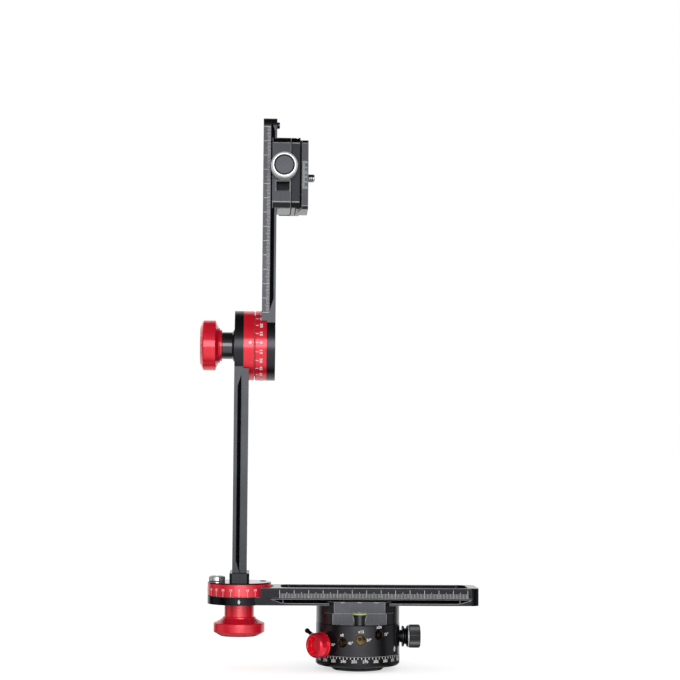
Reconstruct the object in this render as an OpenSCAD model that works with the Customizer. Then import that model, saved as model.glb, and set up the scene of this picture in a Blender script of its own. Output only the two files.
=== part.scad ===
// Panoramic tripod head: indexing rotator, sliding rail, swivelling arm and tilting rail with two clamps.
// +Z is up and +X runs along the lower rail. The origin is the mouth of the tripod thread, under the foot.

/* [Rotator] */
// Diameter of the drum and the degree ring
drum_d = 58.5; // [56:0.5:64]
// Height of the drum above its slip face
drum_h = 21.3; // [21:0.1:25]
// Diameter of the mounting foot
foot_d = 37.2; // [32:0.2:42]
// Height of the mounting foot
foot_h = 3.5; // [2.5:0.1:5]
// Height of the degree ring
dial_h = 7.5; // [6:0.1:9]
// Outer diameter of the brass detent ring
detent_d = 43; // [40:0.5:44]
// Diameter of the hub inside the detent ring
hub_d = 28; // [24:0.5:30]
// Diameter of the journal that carries the drum
journal_d = 18; // [16:0.5:20]
// Tapping diameter of the tripod thread
thread_d = 8; // [7.8:0.1:8.2]
// Depth of the tripod thread
thread_h = 11; // [9:0.5:11]
// Outer diameter of the threaded bush
bush_d = 13; // [11.5:0.5:15]
// Diameter of the index holes in the drum
index_hole_d = 6; // [5.5:0.1:6.5]

/* [Index plunger] */
// Diameter of the plunger knob
plunger_d = 17; // [14:0.5:19]
// Length of the plunger knob
plunger_len = 8.6; // [8:0.1:12]
// Travel of the plunger
plunger_travel = 3; // [2:0.1:3]
// How far the plunger stands parked out of its stop
plunger_parked = 0.8; // [0.7:0.05:1.2]
// Length of the lock lever from the plunger axis
lever_len = 20; // [16:0.5:23]
// Diameter of the lock lever rod
lever_d = 2.6; // [2:0.1:3]

/* [Pan lock] */
// Diameter of the pan lock knob
pan_knob_d = 16.1; // [14:0.1:18]
// Length of the pan lock knob
pan_knob_len = 7.9; // [6:0.1:10]
// Diameter of the pan lock screw
pan_screw_d = 6; // [5:0.1:6.5]
// Height of the pan lock axis above the dial ring
pan_lock_rise = 11.8; // [11:0.1:13]

/* [Rail clamp] */
// Diameter of the round clamp on the drum
clamp_d = 58; // [57:0.5:62]
// Height from the drum top to the rail seat
clamp_h = 12.5; // [12:0.1:15]
// Distance from the axis to the flat front of the clamp
clamp_front = 22.3; // [22:0.1:23.5]
// Height of the jaw lips above the rail seat
lip_h = 2.9; // [2.5:0.1:3.3]
// Diameter of the clamp knob
clamp_knob_d = 18; // [16:0.5:19]
// Length of the clamp knob
clamp_knob_len = 10.6; // [8:0.1:14]
// Diameter of the clamp screw
clamp_screw_d = 6; // [5:0.1:6]

/* [Rails] */
// Width of every rail
rail_w = 38; // [37.4:0.1:38.6]
// Depth of the side grooves
groove_d = 2.6; // [2.2:0.1:2.7]
// Thickness of the lower rail
rail_t = 12; // [11.4:0.1:13]
// Length of the lower rail from the swivel axis to its free end
rail_len = 166; // [160:0.2:200]
// Thickness of the lower arm
arm_t = 10; // [9.6:0.1:11]
// Height of the tilt axis above the foot of the lower arm
arm_len = 157.9; // [150:0.1:180]
// Thickness of the upper rail
upper_t = 9.5; // [9.2:0.1:10.5]
// Length of the upper rail from the tilt axis to its free end
upper_len = 159; // [150:0.5:162]
// Radius of the rounded rail ends
corner_r = 6; // [3:0.5:8]
// Length of the trough in the lower rail
trough_len = 130; // [100:1:132]
// Width of the trough in the lower rail
trough_w = 30; // [20:1:31]
// Depth of the trough in the lower rail
trough_depth = 3; // [1:0.1:3.4]

/* [Swivel joint] */
// Distance from the pan axis to the swivel axis
swivel_offset = 82.8; // [80:0.1:100]
// Diameter of the swivel ring and its seat
swivel_d = 44.4; // [42:0.2:46]
// Height of the swivel ring
swivel_ring_h = 8.3; // [7.6:0.1:10]
// Thickness of the turntable plate
plate_t = 0.9; // [0.6:0.1:1.5]
// Width of the block under the arm
block_w = 13.6; // [12.6:0.1:16]
// Height of the block under the arm
block_h = 6.8; // [5.5:0.1:9]
// Diameter of both joint shafts
shaft_d = 10; // [8:0.5:11]
// Diameter of the swivel knob
swivel_knob_d = 35.5; // [32:0.5:38]
// Diameter of the neck of the swivel knob
swivel_neck_d = 20.5; // [18:0.5:22]
// Length of the swivel knob with its neck
swivel_knob_len = 21.4; // [20:0.1:24]

/* [Tilt joint] */
// Diameter of the tilt rings and their seats
tilt_d = 48.8; // [46:0.2:50]
// Length of the fixed index ring along the tilt axis
index_ring_t = 7.6; // [6.6:0.1:9]
// Length of the graduated ring along the tilt axis
tilt_dial_t = 8.1; // [7:0.1:9]
// Diameter of the tilt knob
tilt_knob_d = 35.2; // [32:0.2:38]
// Length of the tilt knob
tilt_knob_len = 15.2; // [14.5:0.1:18]
// Length of the spacer behind the tilt knob
spacer_len = 8.8; // [6:0.1:11]
// Diameter of the spacer behind the tilt knob
spacer_d = 18.9; // [17:0.1:20]

/* [Camera clamp] */
// Length of the carriage along the upper rail
carriage_len = 49.5; // [46:0.5:56]
// Height of the carriage centre above the tilt axis
carriage_rise = 119.9; // [80:0.1:125]
// Height of the clamp screws above the carriage centre
knob_rise = 3.3; // [0:0.1:4]
// Thickness of the carriage behind the upper rail
carriage_t = 9.8; // [9.4:0.1:12]
// Thickness of the floor of the camera clamp
camera_floor_t = 3.4; // [3.2:0.1:5]
// Distance from the rail centre to the outer jaw faces
jaw_out = 22; // [21.6:0.1:23.5]
// Height of the end bevels on the clamps
bevel_h = 4; // [2:0.1:4.5]
// Diameter of the carriage knob
carriage_knob_d = 18.2; // [16:0.2:19]
// Length of the carriage knob
carriage_knob_len = 14; // [11:0.1:18]
// Diameter of the camera clamp knob
camera_knob_d = 17; // [15:0.5:19]
// Length of the quick-release plate
plate_len = 48.6; // [44:0.2:54]
// Height of the quick-release plate above its dovetail
plate_flange_t = 4.5; // [4:0.1:6]
// Length of the screw slot in the plate
slot_len = 30; // [24:1:34]
// Diameter of the camera screw
camera_screw_d = 6.35; // [6.3:0.01:6.4]

/* [Fits] */
// Radial clearance of turning and sliding shafts
run_fit = 0.05; // [0.02:0.01:0.1]
// Clearance of flat sliding faces
slide_gap = 0.1; // [0.05:0.01:0.15]
// Clearance round parts that are screwed or pressed together
seat_gap = 0.02; // [0.01:0.01:0.04]
// Thickness of the slip washers
slip_t = 0.3; // [0.2:0.05:0.4]
// Clearance beside and over a dovetail in its jaw
jaw_gap = 0.3; // [0.25:0.01:0.4]

/* [Hidden] */

$fn = 96;
eps = 0.01;
past = 1;
tooth_land = 0.08;
black = "#202125";
red = "#c8102e";
steel = "#b9bcc2";
brass = "#c9a24a";
ptfe = "#ece9df";

// Rotator heights, from the origin up
dial_z = foot_h;
drum_z = dial_z + dial_h + slip_t;
drum_top = drum_z + drum_h;
drum_r = drum_d / 2;
detent_r = detent_d / 2;
detent_gap = 0.5;
bore_r = detent_r + detent_gap;
roof_t = 4.4;
roof_z = drum_top - roof_t;
hub_r = hub_d / 2;
hub_top = roof_z - slip_t;
journal_r = journal_d / 2;
journal_top = drum_top - 1.4;
washer_t = 0.2;
shoulder_z = journal_top - washer_t;
retainer_r = journal_r + 2.9;
retainer_t = 1.2;
centre_screw_r = 3;
centre_head_r = 4.6;
centre_head_h = 1.8;
centre_screw_len = 15;
bush_r = bush_d / 2;
thread_relief = 1;
edge = 0.5;

// Index holes: angle from the front, height above the drum's slip face and number of stops in each row
index_rows = [[-50, 7.5, 4], [-24, 9.6, 8], [1, 11.4, 12], [27, 14.8, 24]];
plunger_row = index_rows[0];
plunger_angle = plunger_row[0];
plunger_z = drum_z + plunger_row[1];
hole_r = index_hole_d / 2;
hole_rim = 0.5;
dimple_r = 1.2;
dimple_out = 0.4;
nose_r = 1;
nose_len = 1.1;

// Plunger, measured outward from the pan axis
plunger_r = plunger_d / 2;
pin_r = 1.5;
pin_collar_r = 2.2;
pin_collar_t = 1;
lever_gap = 0.35;
collar_t = 2.5;
collar_in = drum_r + lever_gap;
collar_out = collar_in + collar_t;
knob_seat = collar_out + 0.3;
knob_in = knob_seat + plunger_parked;
knob_out = knob_in + plunger_len;
barrel_r = hole_r + 0.9;
barrel_out = knob_seat + 2.2;
barrel_cap = 1.2;
bush_in = bore_r + 0.6;
chamber_in = bush_in + 2.4;
chamber_r = 2.4;
chamber_out = barrel_out - barrel_cap;
pin_collar_seat = chamber_in + 0.2;
pin_collar_in = pin_collar_seat + plunger_parked;
spring_in = pin_collar_seat + pin_collar_t + plunger_travel + 0.1;
spring_r = 1.9;
wire_r = 0.22;
spring_turns = 4;
spring_sides = 6;
spring_steps = 14;
nose_seat = detent_r + dimple_out;
nose_at = nose_seat + plunger_parked;
dish_r = 5.9;
dish_depth = 3;
pin_out = knob_out - dish_depth - 0.3;
knob_flange_r = plunger_r + 0.4;
knob_flange_t = 1.6;
knob_groove_t = 1.2;
lever_r = lever_d / 2;
lever_at = collar_in + lever_r + 0.05;
lever_angle = 156;
bulb_r = 1.75;
lever_collar_r = barrel_r + 1.3;

// Pan lock, measured along +X from the pan axis
pan_lock_z = dial_z + dial_h + pan_lock_rise;
pan_screw_r = pan_screw_d / 2;
shoe_in = detent_r + 0.3;
shoe_t = 2.6;
pan_screw_in = shoe_in + shoe_t + 0.2;
neck_in = drum_r + 0.15;
neck_t = 1.4;
neck_r = 4.35;
flange_t = 4.1;
flange_r = pan_knob_d / 2 - 0.8;
flange_waist_r = 5.4;
flange_in = neck_in + neck_t;
lock_ring_in = flange_in + flange_t;
lock_ring_t = 0.7;
lock_ring_r = pan_knob_d / 2 - 0.15;
pan_knob_in = lock_ring_in + lock_ring_t;
pan_knob_r = pan_knob_d / 2;
pan_knob_skin = 2.5;

// Rail seat and its jaws
seat_z = drum_top + clamp_h;
rail_z = seat_z + slide_gap;
rail_half = rail_w / 2;
clamp_r = clamp_d / 2;
jaw_top = seat_z + lip_h;
jaw_in = rail_half + jaw_gap;
slope_gap = 0.21;
body_back = jaw_in - 0.3;
jaw_back = clamp_r - 0.8;
clamp_screw_r = clamp_screw_d / 2;
clamp_axis_z = seat_z - 6.2;
clamp_screw_in = 5;
tongue_x = 11.3;
tongue_w = 5.6;
tongue_h = 5;
tongue_in = 8;
ledge_z = seat_z - 5;
ledge_step = 0.4;
wing_x = 17.5;
wing_angle = 40;
wing_cut = 10;
clamp_knob_r = clamp_knob_d / 2;
clamp_knob_y = max(jaw_back, drum_r) + 0.65;
clamp_neck_r = 4.5;
bolt_r = 2;
bolt_head_r = 3.5;
bolt_head_h = 4;
bolt_x = 19;
bolt_y = 9;
bolt_sink = 0.5;
bolt_depth = 3.2;
bolt_len = clamp_h - bolt_sink - bolt_head_h + bolt_depth;
level_r = 5.3;
level_y = clamp_front + 1;
level_t = 1.2;
level_gap = 0.15;
level_z = ledge_z - 0.7;
boss_r = 3.55;
boss_y = level_y + 1.6;

// Lower rail: foot edge, groove and ruler flange add up to its thickness
rail_edge = 1.4;
rail_groove = 3.6;
rail_disc_t = 5.5;
swivel_r = swivel_d / 2;
swivel_x = -swivel_offset;
rail_pocket_r = swivel_r + 1.8;
runout = 8;
rail_groove_from = 22;
rail_groove_end = 5.2;
rail_groove_to = rail_len - rail_groove_end;
trough_from = 28.8;
trough_r = 6;

// Swivel stack, upwards from the round seat of the lower rail
disc_top = rail_z + rail_disc_t;
ring_z = disc_top + slip_t;
plate_z = ring_z + swivel_ring_h;
block_z = plate_z + plate_t;
arm_z = block_z + block_h;
shaft_r = shaft_d / 2;
shaft_bush_r = shaft_r + 2;
shaft_flange_w = 5.2;
shaft_flange_r = shaft_r + shaft_flange_w;
shaft_flange_t = 3;
block_bevel = 1.6;
block_len = rail_w + 1;
arm_bolt_r = 2.5;
arm_head_r = 4.2;
arm_head_h = 4.4;
arm_bolt_y = 13.2;
arm_bolt_grip = 13;
arm_bolt_sink = 0.3;
washer_r = 11.5;
swivel_washer_t = 0.75;
knob_top = rail_z - swivel_washer_t - slide_gap;
swivel_knob_r = swivel_knob_d / 2;
swivel_neck_r = swivel_neck_d / 2;
knob_bottom = knob_top - swivel_knob_len;
knob_floor = 3;
rim_h = 6.8;
dome_h = 2.4;
cone_h = 2.9;
dome_in = 4.7;
cup_r = 5.8;
cup_h = 3.5;
cup_wall = 1;
cup_floor = 0.8;
cup_x = swivel_x - swivel_r + cup_r + 0.6;
cup_y = 4;
vial_drop = 0.3;
table_screw_r = 2.35;
table_screw_out = 16.5;
table_screw_x = swivel_x + table_screw_out;
table_screw_y = 7;
table_screw_len = 6;
table_screw_up = 0.3;

// Tilt stack, towards +X from the knob side of the lower arm
tilt_z = arm_z + arm_len;
tilt_r = tilt_d / 2;
arm_x = swivel_x - arm_t / 2;
arm_edge = 2.4;
arm_groove = 3.2;
arm_disc_t = 6.2;
arm_pocket_r = tilt_r + 0.8;
arm_groove_from = 20.5;
arm_groove_to = arm_len - 0.3;
index_x = arm_x + arm_disc_t;
slip_x = index_x + index_ring_t;
tilt_slip_t = 0.4;
dial_x = slip_x + tilt_slip_t;
upper_disc_x = dial_x + tilt_dial_t;
upper_disc_t = 5.9;
upper_x = upper_disc_x + upper_disc_t;
upper_edge = 1.5;
upper_groove = 2.8;
upper_groove_from = 23.4;
upper_groove_to = upper_len - 1.5;
small_screw_r = 1.5;
small_head_r = 2.9;
small_head_h = 1.7;
small_screw_len = 8;
ring_screw_pcd = 36;
spacer_r = spacer_d / 2;
spacer_flare_t = 1.8;
spacer_flare_r = spacer_r + 1.8;
spacer_x = arm_x - spacer_len;
tilt_knob_x = spacer_x - slide_gap;
tilt_knob_r = tilt_knob_d / 2;
tilt_rim_h = 9.1;
tilt_cone_h = 1.9;
tilt_dome_h = 1.9;
tilt_dome_in = 4.6;
tilt_neck_r = 11;
stop_r = 2.3;
stop_h = 2;
stop_grip = 4;
stop_at = upper_len - 2.6;
hex_r = 1.2;
slot_w = 0.8;
slot_depth = 1;

// Carriage, towards +X from the face of the upper rail
carriage_x = upper_x + slide_gap;
camera_x = carriage_x + carriage_t + slide_gap;
plate_seat_x = camera_x + camera_floor_t;
plate_x = plate_seat_x + slide_gap;
plate_edge = 1.2;
plate_neck = 0.2;
plate_top_x = plate_x + plate_edge + groove_d + plate_neck + plate_flange_t;
carriage_lip = 3.3;
camera_lip = 2.9;
carriage_z = tilt_z + carriage_rise - carriage_len / 2;
carriage_mid = tilt_z + carriage_rise;
clamp_screw_z = carriage_mid + knob_rise;
jaw_split = rail_half - 2;
bevel_in = 3.2;
carriage_axis_x = carriage_x + carriage_t / 2;
carriage_screw_r = 3;
carriage_screw_end = 3;
carriage_tongue_z = 15;
carriage_tongue_t = 5;
carriage_tongue_in = 8;
carriage_knob_r = carriage_knob_d / 2;
carriage_knob_y = jaw_out + 0.4;
cap_r = carriage_knob_r - 2.6;
cap_t = 0.8;
cap_sink = 0.25;
cap_groove = 0.6;
recess_w = 9.2;
recess_h = 8.1;
recess_depth = 2.1;
recess_steps = 9;
recess_left = 0.8;
camera_axis_x = carriage_axis_x + 1;
camera_screw_y = 8;
camera_axis_r = 2.5;
camera_leg_t = 5.5;
camera_jaw_out = jaw_out + camera_leg_t;
camera_leg_gap = 0.2;
camera_leg_x = camera_axis_x - 4;
camera_tongue_in = 12;
camera_knob_y = camera_jaw_out + 0.3;
camera_knob_r = camera_knob_d / 2;
camera_knob_len = 10.7;
joint_bolt_y = 5;
joint_bolt_z = 11;
joint_bolt_r = 2;
joint_head_r = 3.4;
joint_head_h = 1.8;
joint_bolt_len = 8;
plate_drop = 0.8;
plate_mid = carriage_mid - plate_drop;
plate_z0 = plate_mid - plate_len / 2;
plate_slot_w = camera_screw_d + 0.35;
plate_counter_w = 11.6;
plate_bevel = 2.2;
plate_web = 3.3;
camera_thread_r = camera_screw_d / 2;
camera_head_r = 5.3;
camera_head_h = 3;
camera_neck_r = camera_thread_r - 0.6;
camera_thread_up = 0.3;
camera_stub = 4.8;

// ---- Shared shapes ----

// A turned solid from [radius, height] corners
module turned(corners) {
    rotate_extrude() polygon(corners);
}

// A flat ring
module ring(outer, inner, height) {
    difference() {
        cylinder(r = outer, h = height);
        translate([0, 0, -past]) cylinder(r = inner, h = height + 2 * past);
    }
}

// A ring or disc with bevelled outer edges
module bevelled_disc(radius, height, low, high) {
    turned([[0, 0], [radius - low, 0], [radius, low], [radius, height - high], [radius - high, height],
        [0, height]]);
}

// Turn +Z towards +X, -X, +Y or -Y
module to_right() {
    rotate([0, 90, 0]) children();
}
module to_left() {
    rotate([0, -90, 0]) children();
}
module to_back() {
    rotate([-90, 0, 0]) children();
}
module to_front() {
    rotate([90, 0, 0]) children();
}

// Point +Z outward from the pan axis at an angle from the front
module outward(angle, height) {
    rotate([0, 0, angle]) translate([0, 0, height]) to_front() children();
}

// Corners of a knurled or lobed circle
function toothed(radius, depth, teeth) = [for (i = [0 : 2 * teeth - 1])
    let (r = i % 2 == 0 ? radius : radius - depth, a = i * 180 / teeth) [r * cos(a), r * sin(a)]];

// A knob with a knurled rim and bevelled ends
module knurled_knob(radius, length, teeth, depth, bevel) {
    intersection() {
        linear_extrude(length) polygon(toothed(radius + tooth_land, depth + tooth_land, teeth));
        bevelled_disc(radius, length, bevel, bevel);
    }
}

// A plan with rounded corners
module rounded_plan(length, width, radius) {
    translate([0, radius]) square([length, width - 2 * radius]);
    translate([radius, 0]) square([length - 2 * radius, width]);
    for (x = [radius, length - radius])
        for (y = [radius, width - radius])
            translate([x, y]) circle(radius);
}

// One stretch of dovetail groove along +X, its neck line on the X axis and its mouth towards +Y
module groove_stretch(length, height) {
    reach = groove_d + 4;
    rotate([90, 0, 90]) linear_extrude(length)
        polygon([[0, groove_d], [0, height], [reach, height], [reach, groove_d - reach]]);
}

// A groove with a run-out at each end
module groove_cut(from, to, low, height) {
    lean = atan(groove_d / runout);
    straight = to - from - 2 * runout;
    tail = runout / cos(lean) + 3;
    translate([from + runout, rail_half - groove_d, low]) {
        groove_stretch(straight, height);
        mirror([1, 0, 0]) rotate([0, 0, lean]) groove_stretch(tail, height);
        translate([straight, 0, 0]) rotate([0, 0, lean]) groove_stretch(tail, height);
    }
}

// A dovetail rail along +X with a half-thickness round seat at the origin, dovetail face at the bottom
module seated_rail(length, thickness, low, height, from, to, seat_r, seat_t, pocket_r, end_r) {
    difference() {
        union() {
            cylinder(r = seat_r, h = seat_t);
            linear_extrude(thickness) difference() {
                translate([-end_r, -rail_half]) rounded_plan(length + end_r, rail_w, end_r);
                translate([-2 * end_r, -rail_half - past]) square([2 * end_r, rail_w + 2 * past]);
            }
        }
        translate([0, 0, seat_t]) cylinder(r = pocket_r, h = thickness);
        for (side = [0, 1])
            mirror([0, side, 0]) groove_cut(from, to, low, height);
    }
}

// Section of a jaw lip in the plane across the rail: x grows from the seat, y from the rail centre outward
function lip_corners(lip, low) = [[low - jaw_gap + slope_gap, jaw_in],
    [lip, rail_half - (lip - low - slope_gap)]];

// Prism along Z from corners in the XY plane, over the length of the carriage
module along_carriage(corners) {
    translate([0, 0, carriage_z]) linear_extrude(carriage_len) polygon(corners);
}

// Wedges that bevel both ends of a clamp part whose outer face is at y = side * outer
module bevel_wedges(x_from, x_to, outer, side) {
    end_wedges(x_from, x_to, outer, side, carriage_mid, carriage_len, bevel_in, bevel_h);
}

// Wedges at both ends of a piece along Z: inwards from y = side * outer, and along the piece
module end_wedges(x_from, x_to, outer, side, middle, length, inwards, along) {
    reach = inwards + 2;
    for (end = [-1, 1])
        translate([x_from - past, 0, middle + end * length / 2])
            mirror([0, 0, end < 0 ? 1 : 0])
                rotate([90, 0, 90]) linear_extrude(x_to - x_from + 2 * past)
                    polygon([[side * (outer + reach), -along * (1 + reach / inwards)],
                        [side * (outer + reach), past], [side * (outer - inwards), past],
                        [side * (outer - inwards), 0]]);
}

// A cap screw standing on its head's seat, head down, shank towards +Z
module cap_screw(shank_r, shank_len, head_r, head_h) {
    cylinder(r = shank_r, h = shank_len);
    translate([0, 0, -head_h]) difference() {
        cylinder(r = head_r, h = head_h);
        translate([0, 0, -past]) cylinder(r = shank_r * 0.9, h = past + head_h * 0.55, $fn = 6);
    }
}

// A countersunk screw, head face at z = 0 and shank towards +Z
module flat_screw(shank_r, length, head_r, head_h) {
    difference() {
        turned([[0, 0], [head_r, 0], [head_r, 0.2], [shank_r, head_h], [shank_r, length], [0, length]]);
        translate([0, 0, -past]) cylinder(r = shank_r * 0.8, h = past + head_h * 0.6, $fn = 6);
    }
}

// The hole for a countersunk screw
module flat_screw_hole(shank_r, length, head_r, head_h) {
    turned([[0, -past], [head_r + seat_gap, -past], [head_r + seat_gap, 0.2 + seat_gap],
        [shank_r + seat_gap, head_h + seat_gap], [shank_r + seat_gap, length + seat_gap],
        [0, length + seat_gap]]);
}

// A knob turned from the solid: neck, cone, rim and dome, mouth at z = 0 and face at the far end
module turned_knob(neck_r, rim_r, length, cone, rim, dome, dome_step, bore_floor) {
    rim_from = length - dome - rim;
    cone_from = rim_from - cone;
    undercut = 0.9;
    difference() {
        turned([[0, 0], [neck_r, 0], [neck_r, cone_from - undercut], [neck_r + 1.3, cone_from - undercut],
            [neck_r + 1.3, cone_from], [rim_r - 1.5, rim_from], [rim_r - edge, rim_from],
            [rim_r, rim_from + edge], [rim_r, rim_from + rim - edge], [rim_r - edge, rim_from + rim],
            [rim_r - dome_step, length], [0, length]]);
        translate([0, 0, -past]) cylinder(r = shaft_r + run_fit, h = length - bore_floor + past);
    }
}

// ---- Rotator base ----

module base_foot() {
    color(black) difference() {
        turned([[0, 0], [foot_d / 2 - 1.6, 0], [foot_d / 2, 1.4], [foot_d / 2, foot_h], [hub_r, foot_h],
            [hub_r, hub_top], [journal_r, hub_top], [journal_r, journal_top], [0, journal_top]]);
        translate([0, 0, -past]) cylinder(r = bush_r + seat_gap, h = thread_h + past);
        cylinder(r = thread_d / 2, h = thread_h + thread_relief);
        translate([0, 0, journal_top - centre_screw_len]) cylinder(r = centre_screw_r + seat_gap,
            h = centre_screw_len + past);
    }
}

module thread_bush() {
    color(steel) ring(bush_r, thread_d / 2, thread_h);
}

module dial_ring() {
    color(black) difference() {
        translate([0, 0, dial_z]) bevelled_disc(drum_r, dial_h, 1.4, 0.3);
        cylinder(r = hub_r + seat_gap, h = drum_z);
    }
}

module detent_ring() {
    ring_bottom = dial_z + dial_h;
    color(brass) difference() {
        translate([0, 0, ring_bottom]) cylinder(r = detent_r, h = hub_top - ring_bottom);
        translate([0, 0, ring_bottom - past]) cylinder(r = hub_r + seat_gap, h = hub_top);
        for (row = index_rows)
            for (stop = [0 : row[2] - 1])
                rotate([0, 0, row[0] + stop * 360 / row[2]])
                    translate([0, -nose_seat, drum_z + row[1]]) sphere(r = dimple_r, $fn = 32);
    }
}

module slip_washers() {
    color(ptfe) {
        translate([0, 0, drum_z - slip_t]) ring(drum_r - 0.8, bore_r + 0.3, slip_t);
        translate([0, 0, shoulder_z]) ring(retainer_r, journal_r + run_fit, washer_t);
    }
}

module pan_retainer() {
    color(steel) translate([0, 0, journal_top]) ring(retainer_r, centre_screw_r + seat_gap, retainer_t);
}

module pan_screw() {
    color(steel) translate([0, 0, journal_top + retainer_t]) mirror([0, 0, 1])
        cap_screw(centre_screw_r, centre_screw_len + retainer_t - 0.5, centre_head_r, centre_head_h);
}

// ---- Drum and what is fixed to it ----

module drum() {
    color(black) difference() {
        turned([[0, drum_z], [drum_r - 0.3, drum_z], [drum_r, drum_z + 0.3], [drum_r, drum_top - edge],
            [drum_r - edge, drum_top], [0, drum_top]]);
        translate([0, 0, drum_z - past]) cylinder(r = bore_r, h = roof_z - drum_z + past);
        cylinder(r = journal_r + run_fit, h = drum_top);
        translate([0, 0, shoulder_z]) cylinder(r = retainer_r + 0.3, h = drum_top);
        for (row = index_rows)
            outward(row[0], drum_z + row[1]) {
                cylinder(r = hole_r, h = drum_r + past);
                translate([0, 0, drum_r - 2 * hole_rim])
                    cylinder(r1 = hole_r - hole_rim, r2 = hole_r + 2 * hole_rim, h = 3 * hole_rim);
            }
        translate([0, 0, pan_lock_z]) to_right() cylinder(r = pan_screw_r + run_fit, h = drum_r + past);
        for (x = [-bolt_x, bolt_x])
            for (y = [-bolt_y, bolt_y])
                translate([x, y, drum_top - bolt_depth - seat_gap])
                    cylinder(r = bolt_r + seat_gap, h = bolt_depth + past);
    }
}

module brake_shoe() {
    color(brass) translate([shoe_in, 0, pan_lock_z]) to_right() cylinder(r = pan_screw_r, h = shoe_t);
}

module plunger_bush() {
    color(steel) outward(plunger_angle, plunger_z) difference() {
        turned([[0, bush_in], [hole_r - seat_gap, bush_in], [hole_r - seat_gap, drum_r],
            [barrel_r, drum_r], [barrel_r, barrel_out], [0, barrel_out]]);
        cylinder(r = pin_r + run_fit, h = barrel_out + past);
        translate([0, 0, chamber_in]) cylinder(r = chamber_r, h = chamber_out - chamber_in);
    }
}

// Points of one ring of the spring wire
function wire_ring(turn, z) = [for (k = [0 : spring_sides - 1])
    let (a = k * 360 / spring_sides, r = spring_r + wire_r * cos(a))
    [r * cos(turn), r * sin(turn), z + wire_r * sin(a)]];

module plunger_spring() {
    rings = spring_turns * spring_steps;
    low = spring_in + wire_r;
    high = chamber_out - wire_r;
    sides = spring_sides;
    points = [for (i = [0 : rings]) each wire_ring(i * 360 / spring_steps, low + (high - low) * i / rings)];
    walls = [for (i = [0 : rings - 1]) for (k = [0 : sides - 1])
        let (n = (k + 1) % sides)
        [i * sides + k, (i + 1) * sides + k, (i + 1) * sides + n, i * sides + n]];
    caps = [[for (k = [0 : sides - 1]) k], [for (k = [sides - 1 : -1 : 0]) rings * sides + k]];
    color(steel) outward(plunger_angle, plunger_z) polyhedron(points, concat(walls, caps), convexity = 8);
}

module clamp_profile(corners, length) {
    translate([-length / 2, 0, 0]) rotate([90, 0, 90]) linear_extrude(length) polygon(corners);
}

module clamp_body() {
    lip = lip_corners(lip_h, rail_edge + slide_gap);
    color(black) difference() {
        union() {
            intersection() {
                translate([0, 0, drum_top]) cylinder(r = clamp_r, h = jaw_top - drum_top);
                clamp_profile([[-clamp_front, drum_top], [body_back, drum_top], [body_back, seat_z],
                    [-jaw_in, seat_z], [-lip[0][1], seat_z + lip[0][0]], [-lip[1][1], jaw_top],
                    [-clamp_front + ledge_step, jaw_top], [-clamp_front + ledge_step, ledge_z],
                    [-clamp_front, ledge_z]], clamp_d);
            }
            translate([0, -boss_y, drum_top]) cylinder(r = boss_r, h = level_z - drum_top);
            translate([-boss_r, -boss_y, drum_top]) cube([2 * boss_r, 5, level_z - drum_top]);
        }
        for (side = [-1, 1])
            translate([side * wing_x, ledge_step - clamp_front, ledge_z]) rotate([0, 0, side * wing_angle])
                translate([-2 * past, -wing_cut, 0])
                    translate([side > 0 ? 0 : 4 * past - wing_cut, 0, 0])
                        cube([wing_cut, wing_cut, clamp_h]);
        translate([0, -level_y, level_z]) cylinder(r = level_r + level_gap, h = level_t + level_gap);
        cylinder(r = centre_head_r + 0.9, h = drum_top + centre_head_h);
        translate([0, clamp_screw_in - 3, clamp_axis_z]) to_back()
            cylinder(r = clamp_screw_r + run_fit, h = clamp_r);
        for (x = [-tongue_x, tongue_x])
            translate([x - tongue_w / 2 - slide_gap, tongue_in - 1, clamp_axis_z - tongue_h / 2 - slide_gap])
                cube([tongue_w + 2 * slide_gap, clamp_r, tongue_h + 2 * slide_gap]);
        for (x = [-bolt_x, bolt_x])
            for (y = [-bolt_y, bolt_y]) {
                translate([x, y, drum_top - past]) cylinder(r = bolt_r + seat_gap, h = clamp_h + 2 * past);
                translate([x, y, seat_z - bolt_sink - bolt_head_h])
                    cylinder(r = bolt_head_r + 0.2, h = clamp_h);
            }
    }
}

module clamp_bolts() {
    color(steel)
        for (x = [-bolt_x, bolt_x])
            for (y = [-bolt_y, bolt_y])
                translate([x, y, seat_z - bolt_sink - bolt_head_h]) mirror([0, 0, 1])
                    cap_screw(bolt_r, bolt_len, bolt_head_r, bolt_head_h);
}

module clamp_level() {
    color("#7ed957") translate([0, -level_y, level_z]) bevelled_disc(level_r, level_t, 0.1, 0.4);
}

// ---- Pan lock ----

module pan_lock_screw() {
    color(black) translate([0, 0, pan_lock_z]) to_right()
        turned([[0, pan_screw_in], [pan_screw_r, pan_screw_in], [pan_screw_r, neck_in], [neck_r, neck_in],
            [neck_r, flange_in], [flange_r, flange_in], [flange_r, flange_in + 1.2],
            [flange_waist_r, flange_in + 2], [flange_waist_r, flange_in + 2.6],
            [flange_r, lock_ring_in - 0.7], [flange_r, lock_ring_in], [pan_screw_r, lock_ring_in],
            [pan_screw_r, pan_knob_in + pan_knob_len - pan_knob_skin],
            [0, pan_knob_in + pan_knob_len - pan_knob_skin]]);
}

module pan_lock_ring() {
    color(steel) translate([lock_ring_in, 0, pan_lock_z]) to_right()
        ring(lock_ring_r, pan_screw_r + seat_gap, lock_ring_t);
}

module pan_lock_knob() {
    color(black) translate([pan_knob_in, 0, pan_lock_z]) to_right() difference() {
        knurled_knob(pan_knob_r, pan_knob_len, 48, 0.35, 0.7);
        translate([0, 0, -past])
            cylinder(r = pan_screw_r + seat_gap, h = pan_knob_len - pan_knob_skin + seat_gap + past);
    }
}

// ---- Index plunger ----

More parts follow.
